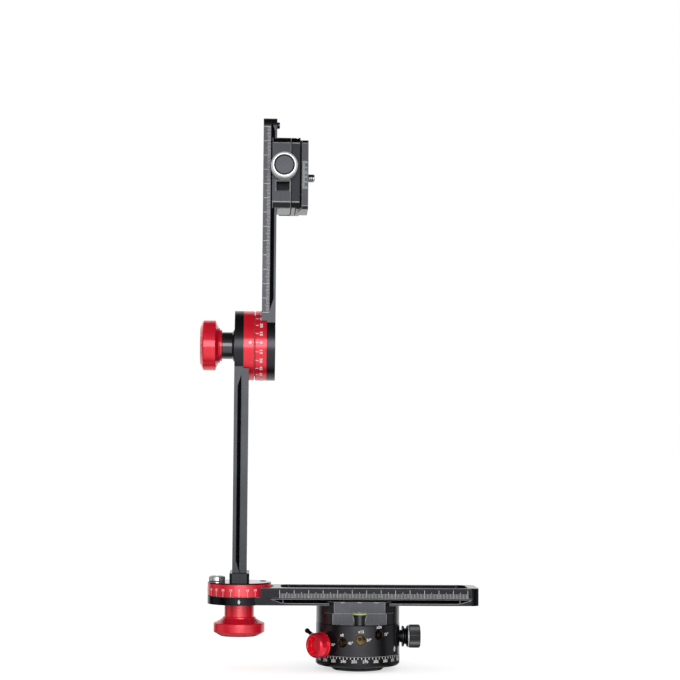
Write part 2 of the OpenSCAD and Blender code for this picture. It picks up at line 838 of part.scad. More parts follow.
module plunger_pin() {
    color(steel) outward(plunger_angle, plunger_z) {
        translate([0, 0, nose_at]) sphere(r = nose_r, $fn = 32);
        turned([[0, nose_at], [nose_r, nose_at], [nose_r, nose_at + nose_len], [pin_r, nose_at + nose_len],
            [pin_r, pin_collar_in], [pin_collar_r, pin_collar_in],
            [pin_collar_r, pin_collar_in + pin_collar_t], [pin_r, pin_collar_in + pin_collar_t],
            [pin_r, pin_out], [0, pin_out]]);
    }
}

module plunger_knob() {
    groove_in = knob_in + knob_flange_t;
    body_in = groove_in + knob_groove_t;
    color(red) outward(plunger_angle, plunger_z) difference() {
        turned([[0, knob_in], [knob_flange_r - 0.3, knob_in], [knob_flange_r, knob_in + 0.3],
            [knob_flange_r, groove_in - 0.3], [knob_flange_r - 0.3, groove_in], [plunger_r - 0.9, groove_in],
            [plunger_r - 0.9, body_in], [plunger_r - 0.2, body_in], [plunger_r, body_in + 0.3],
            [plunger_r, knob_out - 1.8], [plunger_r - 0.5, knob_out - 0.8], [plunger_r - 1.3, knob_out],
            [dish_r, knob_out], [dish_r - 1.1, knob_out - dish_depth], [0, knob_out - dish_depth]]);
        cylinder(r = pin_r + seat_gap, h = pin_out + seat_gap);
        cylinder(r = barrel_r + 0.4, h = barrel_out + plunger_parked + 0.4);
    }
}

module plunger_lever() {
    color(black) outward(plunger_angle, plunger_z) difference() {
        union() {
            translate([0, 0, collar_in]) cylinder(r = lever_collar_r, h = collar_t);
            rotate([0, 0, lever_angle]) translate([0, 0, lever_at]) to_right() {
                cylinder(r = lever_r, h = lever_len - 1.9);
                translate([0, 0, lever_len - 3]) cylinder(r1 = lever_r * 0.7, r2 = lever_r * 1.2, h = 2);
            }
            rotate([0, 0, lever_angle]) translate([lever_len, 0, lever_at]) sphere(r = min(bulb_r,
                lever_at - drum_r), $fn = 48);
        }
        cylinder(r = barrel_r + run_fit, h = knob_out);
    }
}

// ---- Rail clamp jaw ----

module clamp_jaw() {
    lip = lip_corners(lip_h, rail_edge + slide_gap);
    color(black) difference() {
        union() {
            intersection() {
                translate([0, 0, drum_top + 0.3]) cylinder(r = clamp_r, h = jaw_top - drum_top - 0.3);
                clamp_profile([[jaw_in, drum_top], [jaw_back, drum_top], [jaw_back, jaw_top],
                    [lip[1][1], jaw_top], [lip[0][1], seat_z + lip[0][0]]], clamp_d);
            }
            for (x = [-tongue_x, tongue_x])
                translate([x - tongue_w / 2, tongue_in, clamp_axis_z - tongue_h / 2])
                    cube([tongue_w, jaw_in - tongue_in + past, tongue_h]);
        }
        translate([0, 0, clamp_axis_z]) to_back() cylinder(r = clamp_screw_r + run_fit, h = clamp_d);
    }
}

module clamp_screw() {
    color(steel) translate([0, clamp_screw_in, clamp_axis_z]) to_back()
        cylinder(r = clamp_screw_r, h = clamp_knob_y + clamp_knob_len - 3 - clamp_screw_in);
}

module clamp_knob() {
    neck_from = jaw_back + 0.2;
    color(black) difference() {
        union() {
            translate([0, neck_from, clamp_axis_z]) to_back()
                cylinder(r = clamp_neck_r, h = clamp_knob_y - neck_from + past);
            translate([0, clamp_knob_y, clamp_axis_z]) to_back()
                knurled_knob(clamp_knob_r, clamp_knob_len, 36, 0.5, 0.8);
        }
        translate([0, 0, clamp_axis_z]) to_back()
            cylinder(r = clamp_screw_r + seat_gap, h = clamp_knob_y + clamp_knob_len - 3 + seat_gap);
    }
}

// ---- Lower rail ----

module rail() {
    color(black) translate([swivel_x, 0, rail_z]) difference() {
        seated_rail(rail_len, rail_t, rail_edge, rail_groove, rail_groove_from, rail_groove_to, swivel_r,
            rail_disc_t, rail_pocket_r, corner_r);
        translate([0, 0, -past]) cylinder(r = shaft_bush_r + seat_gap, h = rail_disc_t + 2 * past);
        translate([trough_from, -trough_w / 2, rail_t - trough_depth]) linear_extrude(rail_t)
            rounded_plan(trough_len, trough_w, trough_r);
    }
}

module swivel_bush() {
    color(brass) translate([swivel_x, 0, rail_z]) ring(shaft_bush_r, shaft_r + run_fit, rail_disc_t);
}

module swivel_slip_ring() {
    color(ptfe) translate([swivel_x, 0, disc_top]) ring(swivel_r - 1.2, shaft_bush_r + 1, slip_t);
}

module swivel_washer() {
    color(steel) translate([swivel_x, 0, rail_z - swivel_washer_t])
        ring(washer_r, shaft_r + run_fit, swivel_washer_t);
}

module swivel_knob() {
    color(red) translate([swivel_x, 0, knob_top]) mirror([0, 0, 1])
        turned_knob(swivel_neck_r, swivel_knob_r, swivel_knob_len, cone_h, rim_h, dome_h, dome_in,
            knob_floor);
}

// ---- Turntable and lower arm ----

module turntable_hole() {
    translate([table_screw_x, table_screw_y, block_z - table_screw_len])
        cylinder(r = table_screw_r + seat_gap, h = table_screw_len + past);
}

module arm_bolt_holes() {
    for (side = [-1, 1]) {
        translate([swivel_x, side * arm_bolt_y, ring_z - past])
            cylinder(r = arm_head_r + 0.1, h = past + arm_bolt_sink + arm_head_h);
        translate([swivel_x, side * arm_bolt_y, ring_z])
            cylinder(r = arm_bolt_r + seat_gap, h = arm_z + arm_bolt_grip + seat_gap - ring_z);
    }
}

module swivel_dial() {
    color(red) difference() {
        translate([swivel_x, 0, ring_z]) bevelled_disc(swivel_r, swivel_ring_h, 0.3, 0.1);
        translate([swivel_x, 0, 0]) cylinder(r = shaft_r + seat_gap, h = plate_z + past);
        translate([swivel_x, 0, plate_z - shaft_flange_t])
            cylinder(r = shaft_flange_r + seat_gap, h = 2 * shaft_flange_t);
        turntable_hole();
        arm_bolt_holes();
    }
}

module turntable_plate() {
    color(black) difference() {
        translate([swivel_x, 0, plate_z]) bevelled_disc(swivel_r, plate_t, 0.05, 0.3);
        turntable_hole();
        arm_bolt_holes();
    }
}

module turntable_screw() {
    color(black) difference() {
        translate([table_screw_x, table_screw_y, block_z - table_screw_len + seat_gap])
            bevelled_disc(table_screw_r, table_screw_len + table_screw_up, 0.2, 0.3);
        translate([table_screw_x, table_screw_y, block_z - slot_depth])
            cylinder(r = hex_r, h = 2 * slot_depth, $fn = 6);
    }
}

module swivel_shaft() {
    shaft_end = knob_bottom + knob_floor + 0.6;
    color(steel) translate([swivel_x, 0, 0]) {
        translate([0, 0, shaft_end]) cylinder(r = shaft_r, h = plate_z - shaft_end);
        translate([0, 0, plate_z - shaft_flange_t])
            cylinder(r = shaft_flange_r, h = shaft_flange_t - seat_gap);
    }
}

module arm_block() {
    half = block_w / 2;
    reach = block_len / 2;
    color(black) difference() {
        translate([swivel_x, 0, block_z]) linear_extrude(block_h)
            polygon([[-half, -reach + block_bevel], [-half + block_bevel, -reach],
                [half - block_bevel, -reach],
                [half, -reach + block_bevel], [half, reach - block_bevel], [half - block_bevel, reach],
                [-half + block_bevel, reach], [-half, reach - block_bevel]]);
        arm_bolt_holes();
    }
}

module arm_bolts() {
    head_seat = ring_z + arm_bolt_sink + arm_head_h;
    color(steel)
        for (side = [-1, 1])
            translate([swivel_x, side * arm_bolt_y, head_seat])
                cap_screw(arm_bolt_r, arm_z + arm_bolt_grip - head_seat, arm_head_r, arm_head_h);
}

// Screw places round a tilt ring
module ring_screw_places() {
    for (i = [0 : 2])
        rotate([0, 0, 60 + i * 120]) translate([ring_screw_pcd / 2, 0, 0]) children();
}

module lower_arm() {
    color(black) difference() {
        translate([arm_x, 0, tilt_z]) rotate([0, 90, 0])
            seated_rail(arm_len, arm_t, arm_edge, arm_groove, arm_groove_from, arm_groove_to, tilt_r,
                arm_disc_t, arm_pocket_r, 0.5);
        translate([arm_x - past, 0, tilt_z]) to_right()
            cylinder(r = shaft_r + 0.3, h = arm_disc_t + 2 * past);
        translate([arm_x, 0, tilt_z]) to_right() ring_screw_places()
            flat_screw_hole(small_screw_r, small_screw_len, small_head_r, small_head_h);
        arm_bolt_holes();
    }
}

module arm_level_cup() {
    color(steel) translate([cup_x, cup_y, block_z]) difference() {
        bevelled_disc(cup_r, cup_h, 0.3, 0.5);
        translate([0, 0, cup_floor]) cylinder(r = cup_r - cup_wall, h = cup_h);
    }
}

module arm_level_vial() {
    color("#7ed957") translate([cup_x, cup_y, block_z + cup_floor])
        cylinder(r = cup_r - cup_wall - seat_gap, h = cup_h - cup_floor - vial_drop);
}

module tilt_index_ring() {
    color(red) difference() {
        translate([index_x, 0, tilt_z]) to_right() bevelled_disc(tilt_r, index_ring_t, 0.1, 0.5);
        translate([index_x - past, 0, tilt_z]) to_right()
            cylinder(r = shaft_bush_r + seat_gap, h = index_ring_t + 2 * past);
        translate([arm_x, 0, tilt_z]) to_right() ring_screw_places()
            flat_screw_hole(small_screw_r, small_screw_len, small_head_r, small_head_h);
    }
}

module tilt_ring_screws() {
    color(steel) translate([arm_x, 0, tilt_z]) to_right() ring_screw_places()
        flat_screw(small_screw_r, small_screw_len, small_head_r, small_head_h);
}

module tilt_bush() {
    color(brass) translate([index_x, 0, tilt_z]) to_right()
        ring(shaft_bush_r, shaft_r + run_fit, index_ring_t);
}

module tilt_spacer() {
    color(black) translate([arm_x, 0, tilt_z]) to_left() difference() {
        turned([[0, 0], [spacer_flare_r, 0], [spacer_flare_r, 0.6], [spacer_r, spacer_flare_t],
            [spacer_r, spacer_len], [0, spacer_len]]);
        translate([0, 0, -past]) cylinder(r = shaft_r + run_fit, h = spacer_len + 2 * past);
    }
}

module tilt_knob() {
    color(red) translate([tilt_knob_x, 0, tilt_z]) to_left()
        turned_knob(tilt_neck_r, tilt_knob_r, tilt_knob_len, tilt_cone_h, tilt_rim_h, tilt_dome_h,
            tilt_dome_in, knob_floor);
}

// ---- Upper rail ----

module upper_rail() {
    color(black) difference() {
        translate([upper_x, 0, tilt_z]) rotate([0, -90, 0])
            seated_rail(upper_len, upper_t, upper_edge, upper_groove, upper_groove_from, upper_groove_to,
                tilt_r, upper_disc_t, arm_pocket_r, corner_r);
        translate([upper_x, 0, tilt_z]) to_left() ring_screw_places()
            flat_screw_hole(small_screw_r, small_screw_len, small_head_r, small_head_h);
        translate([upper_x, 0, tilt_z + stop_at]) to_left()
            cylinder(r = stop_r * 0.6 + seat_gap, h = stop_grip + seat_gap);
    }
}

module tilt_dial() {
    color(red) difference() {
        translate([dial_x, 0, tilt_z]) to_right() bevelled_disc(tilt_r, tilt_dial_t, 0.5, 0.1);
        translate([dial_x - past, 0, tilt_z]) to_right()
            cylinder(r = shaft_r + seat_gap, h = tilt_dial_t + 2 * past);
        translate([upper_disc_x - shaft_flange_t, 0, tilt_z]) to_right()
            cylinder(r = shaft_flange_r + seat_gap, h = 2 * shaft_flange_t);
        translate([upper_x, 0, tilt_z]) to_left() ring_screw_places()
            flat_screw_hole(small_screw_r, small_screw_len, small_head_r, small_head_h);
    }
}

module tilt_dial_screws() {
    color(steel) translate([upper_x, 0, tilt_z]) to_left() ring_screw_places()
        flat_screw(small_screw_r, small_screw_len, small_head_r, small_head_h);
}

module tilt_shaft() {
    shaft_end = tilt_knob_x - tilt_knob_len + knob_floor + 0.6;
    color(steel) translate([0, 0, tilt_z]) {
        translate([shaft_end, 0, 0]) to_right()
            cylinder(r = shaft_r, h = upper_disc_x - shaft_end - seat_gap);
        translate([upper_disc_x - shaft_flange_t, 0, 0]) to_right()
            cylinder(r = shaft_flange_r, h = shaft_flange_t - seat_gap);
    }
}

module tilt_slip_ring() {
    color(ptfe) translate([slip_x, 0, tilt_z]) to_right() ring(tilt_r - 3, shaft_bush_r + 1, tilt_slip_t);
}

module stop_screw() {
    color(steel) difference() {
        translate([upper_x, 0, tilt_z + stop_at]) {
            to_right() bevelled_disc(stop_r, stop_h, 0.01, 0.4);
            to_left() cylinder(r = stop_r * 0.6, h = stop_grip);
        }
        translate([upper_x + stop_h - slot_depth, -stop_r - past, tilt_z + stop_at - slot_w / 2])
            cube([2 * slot_depth, 2 * (stop_r + past), slot_w]);
    }
}

// ---- Carriage ----

module carriage_tongue_places(width, spare) {
    for (side = [-1, 1])
        translate([carriage_axis_x - carriage_tongue_t / 2 - spare, 0,
            carriage_mid + side * carriage_tongue_z - width / 2 - spare]) children();
}

// The slot that a tongue slides in
module carriage_keyway(length) {
    cube([carriage_tongue_t + 2 * slide_gap, length, tongue_w + 2 * slide_gap]);
}

module joint_bolt_places() {
    for (y = [-joint_bolt_y, joint_bolt_y])
        for (z = [-joint_bolt_z, joint_bolt_z])
            translate([plate_seat_x - 0.2 - joint_head_h, y, carriage_mid + z]) to_left() children();
}

module carriage_body() {
    lip = lip_corners(carriage_lip, upper_edge + slide_gap);
    color(black) difference() {
        along_carriage([[carriage_x, -jaw_split], [carriage_x + carriage_t, -jaw_split],
            [carriage_x + carriage_t, jaw_out], [carriage_x - lip[1][0], jaw_out],
            [carriage_x - lip[1][0], lip[1][1]], [carriage_x - lip[0][0], lip[0][1]], [carriage_x, jaw_in]]);
        bevel_wedges(carriage_x - carriage_lip, carriage_x + carriage_t, jaw_out, 1);
        translate([carriage_axis_x, -jaw_out, clamp_screw_z]) to_back()
            cylinder(r = carriage_screw_r + run_fit, h = jaw_out + carriage_screw_end + 1);
        translate([camera_axis_x, camera_screw_y - 1, clamp_screw_z]) to_back()
            cylinder(r = camera_axis_r + run_fit, h = jaw_out);
        carriage_tongue_places(tongue_w, slide_gap)
            translate([0, -jaw_out, 0])
                carriage_keyway(jaw_out - carriage_tongue_in + 1);
        carriage_tongue_places(tongue_w, slide_gap)
            translate([0, camera_tongue_in - 1, 0])
                carriage_keyway(jaw_out);
        joint_bolt_places()
            cylinder(r = joint_bolt_r + seat_gap, h = joint_bolt_len + seat_gap);
    }
}

module carriage_jaw() {
    lip = lip_corners(carriage_lip, upper_edge + slide_gap);
    back_x = carriage_x + carriage_t;
    split_y = jaw_split + jaw_gap;
    recess_z = clamp_screw_z - carriage_knob_r - recess_h;
    color(black) difference() {
        union() {
            difference() {
                along_carriage([[back_x, -jaw_out], [back_x, -split_y], [carriage_x, -split_y],
                    [carriage_x, -jaw_in],
                    [carriage_x - lip[0][0], -lip[0][1]], [carriage_x - lip[1][0], -lip[1][1]],
                    [carriage_x - lip[1][0], -jaw_out]]);
                bevel_wedges(carriage_x - carriage_lip, carriage_x + carriage_t, jaw_out, -1);
                translate([carriage_axis_x - recess_left - recess_w / 2, -jaw_out, recess_z])
                    rotate([90, 0, 90]) linear_extrude(recess_w)
                        polygon([[-past, 0], for (i = [0 : recess_steps])
                            [recess_depth * pow(i / recess_steps, 2), recess_h * i / recess_steps],
                            [-past, recess_h]]);
            }
            carriage_tongue_places(tongue_w, 0)
                translate([0, -split_y - past, 0])
                    cube([carriage_tongue_t, split_y + past - carriage_tongue_in, tongue_w]);
        }
        translate([carriage_axis_x, -jaw_out - past, clamp_screw_z]) to_back()
            cylinder(r = carriage_screw_r + run_fit, h = jaw_out);
    }
}

module carriage_screw() {
    color(steel) translate([carriage_axis_x, carriage_screw_end, clamp_screw_z]) to_front()
        cylinder(r = carriage_screw_r, h = carriage_screw_end + carriage_knob_y + carriage_knob_len - 3.5);
}

module carriage_knob() {
    color(steel) translate([carriage_axis_x, -carriage_knob_y, clamp_screw_z]) to_front() difference() {
        turned([[0, 0], [carriage_knob_r - 0.6, 0], [carriage_knob_r, 0.6],
            [carriage_knob_r, carriage_knob_len - 1.6], [carriage_knob_r - 0.5, carriage_knob_len - 0.5],
            [carriage_knob_r - 1.4, carriage_knob_len], [0, carriage_knob_len]]);
        translate([0, 0, -past])
            cylinder(r = carriage_screw_r + seat_gap, h = carriage_knob_len - 3.5 + seat_gap + past);
        translate([0, 0, carriage_knob_len - cap_t - cap_sink])
            cylinder(r = cap_r + cap_groove, h = carriage_knob_len);
    }
}

module knob_cap() {
    cap_y = -carriage_knob_y - carriage_knob_len + cap_sink + cap_t;
    color(black) translate([carriage_axis_x, cap_y, clamp_screw_z]) to_front() cylinder(r = cap_r, h = cap_t);
}

module camera_clamp_body() {
    lip = lip_corners(camera_lip, plate_edge + slide_gap);
    color(black) difference() {
        along_carriage([[camera_x, -jaw_out], [camera_x, body_back + 0.2], [plate_seat_x, body_back + 0.2],
            [plate_seat_x, -jaw_in], [plate_seat_x + lip[0][0], -lip[0][1]],
            [plate_seat_x + lip[1][0], -lip[1][1]], [plate_seat_x + lip[1][0], -jaw_out]]);
        bevel_wedges(camera_x, plate_seat_x + camera_lip, jaw_out, -1);
        joint_bolt_places() {
            translate([0, 0, -past]) cylinder(r = joint_bolt_r + seat_gap, h = joint_bolt_len);
            translate([0, 0, -2 * joint_head_h]) cylinder(r = joint_head_r + 0.1, h = 2 * joint_head_h);
        }
    }
}

module carriage_bolts() {
    color(steel) joint_bolt_places() cap_screw(joint_bolt_r, joint_bolt_len, joint_head_r, joint_head_h);
}

module camera_jaw() {
    lip = lip_corners(camera_lip, plate_edge + slide_gap);
    leg_y = jaw_out + camera_leg_gap;
    color(black) difference() {
        union() {
            difference() {
                along_carriage([[camera_leg_x, leg_y], [camera_x, leg_y], [camera_x, jaw_in],
                    [plate_seat_x, jaw_in], [plate_seat_x + lip[0][0], lip[0][1]],
                    [plate_seat_x + lip[1][0], lip[1][1]], [plate_seat_x + lip[1][0], camera_jaw_out],
                    [camera_leg_x, camera_jaw_out]]);
                bevel_wedges(camera_leg_x, plate_seat_x + camera_lip, camera_jaw_out, 1);
            }
            carriage_tongue_places(tongue_w, 0)
                translate([0, camera_tongue_in, 0])
                    cube([carriage_tongue_t, leg_y - camera_tongue_in + past, tongue_w]);
        }
        translate([camera_axis_x, jaw_in, clamp_screw_z]) to_back()
            cylinder(r = camera_axis_r + run_fit, h = jaw_out);
    }
}

module camera_knob() {
    color(black) translate([camera_axis_x, 0, clamp_screw_z]) to_back() {
        translate([0, 0, camera_knob_y]) knurled_knob(camera_knob_r, camera_knob_len, 36, 0.5, 0.8);
        translate([0, 0, camera_screw_y])
            cylinder(r = camera_axis_r, h = camera_knob_y - camera_screw_y + past);
    }
}

module camera_plate() {
    neck_x = plate_x + plate_edge + groove_d;
    flange_x = neck_x + plate_neck;
    neck_y = rail_half - groove_d;
    web_x = plate_top_x - plate_web;
    color(black) difference() {
        translate([0, 0, plate_z0]) linear_extrude(plate_len)
            polygon([[plate_x, -rail_half], [plate_x + plate_edge, -rail_half], [neck_x, -neck_y],
                [flange_x, -neck_y], [flange_x, -rail_half], [plate_top_x, -rail_half],
                [plate_top_x, rail_half], [flange_x, rail_half], [flange_x, neck_y], [neck_x, neck_y],
                [plate_x + plate_edge, rail_half], [plate_x, rail_half]]);
        translate([plate_x - past, 0, plate_mid - slot_len / 2]) rotate([90, 0, 90])
            linear_extrude(plate_top_x - plate_x + 2 * past)
                translate([-plate_slot_w / 2, 0])
                    rounded_plan(plate_slot_w, slot_len, plate_slot_w / 2 - eps);
        translate([plate_x - past, 0, plate_mid - slot_len / 2 - 2.5]) rotate([90, 0, 90])
            linear_extrude(web_x - plate_x + past)
                translate([-plate_counter_w / 2, 0])
                    rounded_plan(plate_counter_w, slot_len + 5, plate_counter_w / 2 - eps);
        for (side = [-1, 1])
            end_wedges(plate_x, plate_top_x, rail_half, side, plate_mid, plate_len, plate_bevel, plate_bevel);
    }
}

module camera_screw() {
    head_x = plate_top_x - plate_web - slide_gap - camera_head_h;
    thread_from = plate_top_x + camera_thread_up - head_x;
    color(steel) translate([head_x, 0, plate_mid]) to_right() difference() {
        turned([[0, 0], [camera_head_r, 0], [camera_head_r, camera_head_h], [camera_neck_r, camera_head_h],
            [camera_neck_r, thread_from], [camera_thread_r, thread_from],
            [camera_thread_r, plate_top_x + camera_stub - head_x - 0.6],
            [camera_thread_r - 0.6, plate_top_x + camera_stub - head_x],
            [0, plate_top_x + camera_stub - head_x]]);
        translate([-camera_head_r - past, -slot_w, -past])
            cube([2 * (camera_head_r + past), 2 * slot_w, past + slot_depth]);
    }
}

base_foot();
thread_bush();
dial_ring();
detent_ring();
slip_washers();
pan_retainer();
pan_screw();
drum();
brake_shoe();
plunger_bush();
plunger_spring();
clamp_body();
clamp_bolts();
clamp_level();
pan_lock_screw();
pan_lock_ring();
pan_lock_knob();
plunger_pin();
plunger_knob();
plunger_lever();
clamp_jaw();
clamp_screw();
clamp_knob();
rail();
swivel_bush();
swivel_slip_ring();
swivel_washer();
swivel_knob();
swivel_dial();
turntable_plate();
turntable_screw();
swivel_shaft();
arm_block();
arm_bolts();
lower_arm();
arm_level_cup();
arm_level_vial();
tilt_index_ring();
tilt_ring_screws();
tilt_bush();
tilt_spacer();
tilt_knob();
upper_rail();
tilt_dial();
tilt_dial_screws();
tilt_shaft();
tilt_slip_ring();
stop_screw();
carriage_body();
camera_clamp_body();
carriage_bolts();
carriage_jaw();
carriage_screw();
carriage_knob();
knob_cap();
camera_jaw();
camera_knob();
camera_plate();
camera_screw();
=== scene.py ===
import math

import bmesh
import bpy
from mathutils import Matrix, Vector


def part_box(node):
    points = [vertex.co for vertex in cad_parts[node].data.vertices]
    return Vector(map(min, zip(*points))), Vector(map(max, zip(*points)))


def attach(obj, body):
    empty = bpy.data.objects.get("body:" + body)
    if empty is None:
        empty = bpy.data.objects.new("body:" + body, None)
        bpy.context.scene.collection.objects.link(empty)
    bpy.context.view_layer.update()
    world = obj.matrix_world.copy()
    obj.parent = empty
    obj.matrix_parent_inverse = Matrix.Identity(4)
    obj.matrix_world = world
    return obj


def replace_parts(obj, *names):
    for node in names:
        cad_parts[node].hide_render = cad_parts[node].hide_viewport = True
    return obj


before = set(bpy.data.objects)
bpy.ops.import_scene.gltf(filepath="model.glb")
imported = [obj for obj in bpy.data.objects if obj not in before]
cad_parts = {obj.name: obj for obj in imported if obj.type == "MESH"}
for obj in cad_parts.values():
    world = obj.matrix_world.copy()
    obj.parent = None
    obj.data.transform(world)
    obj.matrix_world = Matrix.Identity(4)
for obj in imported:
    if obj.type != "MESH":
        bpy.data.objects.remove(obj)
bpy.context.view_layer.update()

# ---- Tripod foot ----
# Foot, hub and journal are one turning in black anodised aluminium bar, with the fine
# grooves of the lathe left on it. A steel bush with the tripod's thread is pressed in.
BASE_AT = (0, 0, 0)
ALONG_X, ALONG_Y, ALONG_Z = (0, math.pi / 2, 0), (math.pi / 2, 0, 0), (0, 0, 0)
BLACK, STEEL = (0.0210, 0.0217, 0.0250), (0.42, 0.42, 0.43)
ANODISED, BARE = 0.85, 1.0
THREAD_D, THREAD_H, THREAD_PITCH = 0.008, 0.011, 0.0015875
THREAD_CREST, THREAD_END, THREAD_FACETS = 0.0006, 0.0008, 32


def wired(tree, kind, inputs, **settings):
    """A node with its settings. Each input is given a value or the socket that feeds it."""
    node = tree.nodes.new(kind)
    for label, setting in settings.items():
        setattr(node, label, setting)
    for label, given in inputs.items():
        if isinstance(given, bpy.types.NodeSocket):
            tree.links.new(given, node.inputs[label])
        else:
            node.inputs[label].default_value = given
    return node


def maths(tree, operation, first, second=0):
    return wired(tree, "ShaderNodeMath", {0: first, 1: second}, operation=operation).outputs[0]


def new_material(name):
    """A material with one shader, wired to its output."""
    material = bpy.data.materials.new(name)
    material.use_nodes = True
    tree = material.node_tree
    tree.nodes.clear()
    shader = tree.nodes.new("ShaderNodeBsdfPrincipled")
    wired(tree, "ShaderNodeOutputMaterial", {"Surface": shader.outputs["BSDF"]})
    return material, tree, shader


def placed_coordinates(tree, centre=(0, 0, 0), turn=(0, 0, 0), scale=(1, 1, 1)):
    """Object coordinates moved to a piece's own centre and axis."""
    source = tree.nodes.new("ShaderNodeTexCoord").outputs["Object"]
    return wired(tree, "ShaderNodeMapping", {"Vector": source, "Location": centre, "Rotation": turn,
                                             "Scale": scale}, vector_type="TEXTURE").outputs["Vector"]


def noise(tree, vector, scale, detail=2.0, roughness=0.5):
    """Noise with so many features to the metre."""
    return wired(tree, "ShaderNodeTexNoise", {"Vector": vector, "Scale": scale, "Detail": detail,
                                              "Roughness": roughness}).outputs["Fac"]


def remap(tree, value, low, high):
    """Noise stretched to run from low to high. Most of it lies between 0.3 and 0.7."""
    return wired(tree, "ShaderNodeMapRange", {"Value": value, "From Min": 0.3, "From Max": 0.7, "To Min": low,
                                              "To Max": high}).outputs["Result"]


def tinted(tree, value, colour, spread):
    """A colour that varies a little from place to place, as an anodising bath leaves it."""
    darker, lighter = [(*[min(1, c * (1 + way * spread)) for c in colour], 1) for way in (-1, 1)]
    return wired(tree, "ShaderNodeMix", {0: remap(tree, value, 0, 1), 6: darker, 7: lighter},
                 data_type="RGBA").outputs[2]


def bumped(tree, shader, heights):
    """Chains bumps of (value, strength, height in metres) into the shader's normal."""
    last = None
    for value, strength, height in heights:
        bump = wired(tree, "ShaderNodeBump", {"Height": value, "Strength": strength, "Distance": height})
        if last:
            tree.links.new(last, bump.inputs["Normal"])
        last = bump.outputs["Normal"]
    tree.links.new(last, shader.inputs["Normal"])


GROOVE_DEPTH, GRAIN_DEPTH, LATHE_PLAY = 0.000008, 0.000004, 0.05


def turned_metal(name, colour, centre, turn, roughness, metallic, groove=0.5, specular=0.5):
    """Metal off the lathe: grooves run round the axis, on walls and on end faces alike.

    turn lays Z along that axis."""
    material, tree, shader = new_material(name)
    place = placed_coordinates(tree, centre, turn)
    split = wired(tree, "ShaderNodeSeparateXYZ", {0: place}).outputs
    across = wired(tree, "ShaderNodeCombineXYZ", {"X": split["X"], "Y": split["Y"]}).outputs[0]
    radius = wired(tree, "ShaderNodeVectorMath", {0: across}, operation="LENGTH").outputs["Value"]
    cut = wired(tree, "ShaderNodeCombineXYZ", {"X": radius, "Y": split["Z"]}).outputs[0]
    grooves = noise(tree, cut, scale=5200, detail=3, roughness=0.6)
    clouds = noise(tree, place, scale=60, detail=3)
    grain = noise(tree, place, scale=9000)
    tree.links.new(tinted(tree, clouds, colour, spread=0.12), shader.inputs["Base Color"])
    sheen = remap(tree, grooves, roughness - LATHE_PLAY, roughness + LATHE_PLAY)
    tree.links.new(sheen, shader.inputs["Roughness"])
    shader.inputs["Metallic"].default_value = metallic
    shader.inputs["Specular IOR Level"].default_value = specular
    bumped(tree, shader, [(grooves, groove, GROOVE_DEPTH), (grain, groove / 2, GRAIN_DEPTH)])
    return material


def finish(node, material):
    """Gives a node of the frame its real finish in place of the plain one."""
    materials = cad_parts[node].data.materials
    materials.clear()
    materials.append(material)


def in_scene(name, data):
    """A new object, linked to the scene."""
    item = bpy.data.objects.new(name, data)
    bpy.context.scene.collection.objects.link(item)
    return item


def settled(draft):
    """The plain mesh that a draft comes to with its modifiers. The draft itself goes."""
    mesh = bpy.data.meshes.new_from_object(draft.evaluated_get(bpy.context.evaluated_depsgraph_get()))
    bpy.data.objects.remove(draft)
    return mesh


def riding(name, mesh, body):
    """A finished mesh as a piece that rides on a body."""
    piece = in_scene(name, mesh)
    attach(piece, body)
    return piece


MERGED, FLAT_ANGLE, SHARP_ANGLE = 0.0000002, math.radians(0.3), math.radians(32)
SMALLEST_EDGE, SHORTEST_BROKEN = 0.00006, 0.002
HIGHLIGHT_FACES, SEAM_FACES, SEAM_FACING = 1, 2, 0.2


def rounded(node, body, material, width, worn=None, seam=None):
    """The same solid with its sharp edges broken, as a tumbled or hand-dressed part has them.

    worn is the material of the broken edges, a pale paint that is a painted highlight along them,
    and seam of those that turn towards x, a black paint that is painted shade in the joint. With
    worn, only long edges are broken, and the short sharp ones stay as they are."""
    bm = bmesh.new()
    bm.from_mesh(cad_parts[node].data)
    bmesh.ops.remove_doubles(bm, verts=bm.verts, dist=MERGED)
    bmesh.ops.dissolve_limit(bm, angle_limit=FLAT_ANGLE, verts=bm.verts, edges=bm.edges)
    if worn:
        bmesh.ops.dissolve_degenerate(bm, dist=SMALLEST_EDGE, edges=bm.edges)
        break_weight = bm.edges.layers.float.new("bevel_weight_edge")
        for line in bm.edges:
            sharp = line.calc_face_angle(0) > SHARP_ANGLE
            line[break_weight] = sharp and line.calc_length() > SHORTEST_BROKEN
            line.smooth = line[break_weight] > 0 or not sharp
    mesh = bpy.data.meshes.new(node + "_mesh")
    bm.to_mesh(mesh)
    bm.free()
    mesh.materials.append(material)
    mesh.shade_smooth()
    draft = in_scene(node + "_draft", mesh)
    edge = draft.modifiers.new("Broken edges", "BEVEL")
    edge.width = width
    edge.segments = 2
    edge.limit_method = "ANGLE"
    edge.angle_limit = SHARP_ANGLE
    edge.harden_normals = True
    if worn:
        mesh.materials.append(worn)
        edge.material = HIGHLIGHT_FACES
        edge.use_clamp_overlap = False
        edge.limit_method = "WEIGHT"
    draft.modifiers.new("Flat faces stay flat", "WEIGHTED_NORMAL").keep_sharp = True
    done = settled(draft)
    if seam:
        done.materials.append(seam)
        for face in done.polygons:
            if face.material_index == HIGHLIGHT_FACES and abs(face.normal.x) > SEAM_FACING:
                face.material_index = SEAM_FACES
    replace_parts(riding(node + "_dressed", done, body), node)


foot_black = turned_metal("foot black", (0.0060, 0.0063, 0.0075), BASE_AT, ALONG_Z, 0.22, ANODISED)
bush_steel = turned_metal("bush steel", STEEL, BASE_AT, ALONG_Z, 0.3, BARE)
rounded("base_foot", "base", foot_black, 0.00025)
rounded("thread_bush", "base", bush_steel, 0.0002)


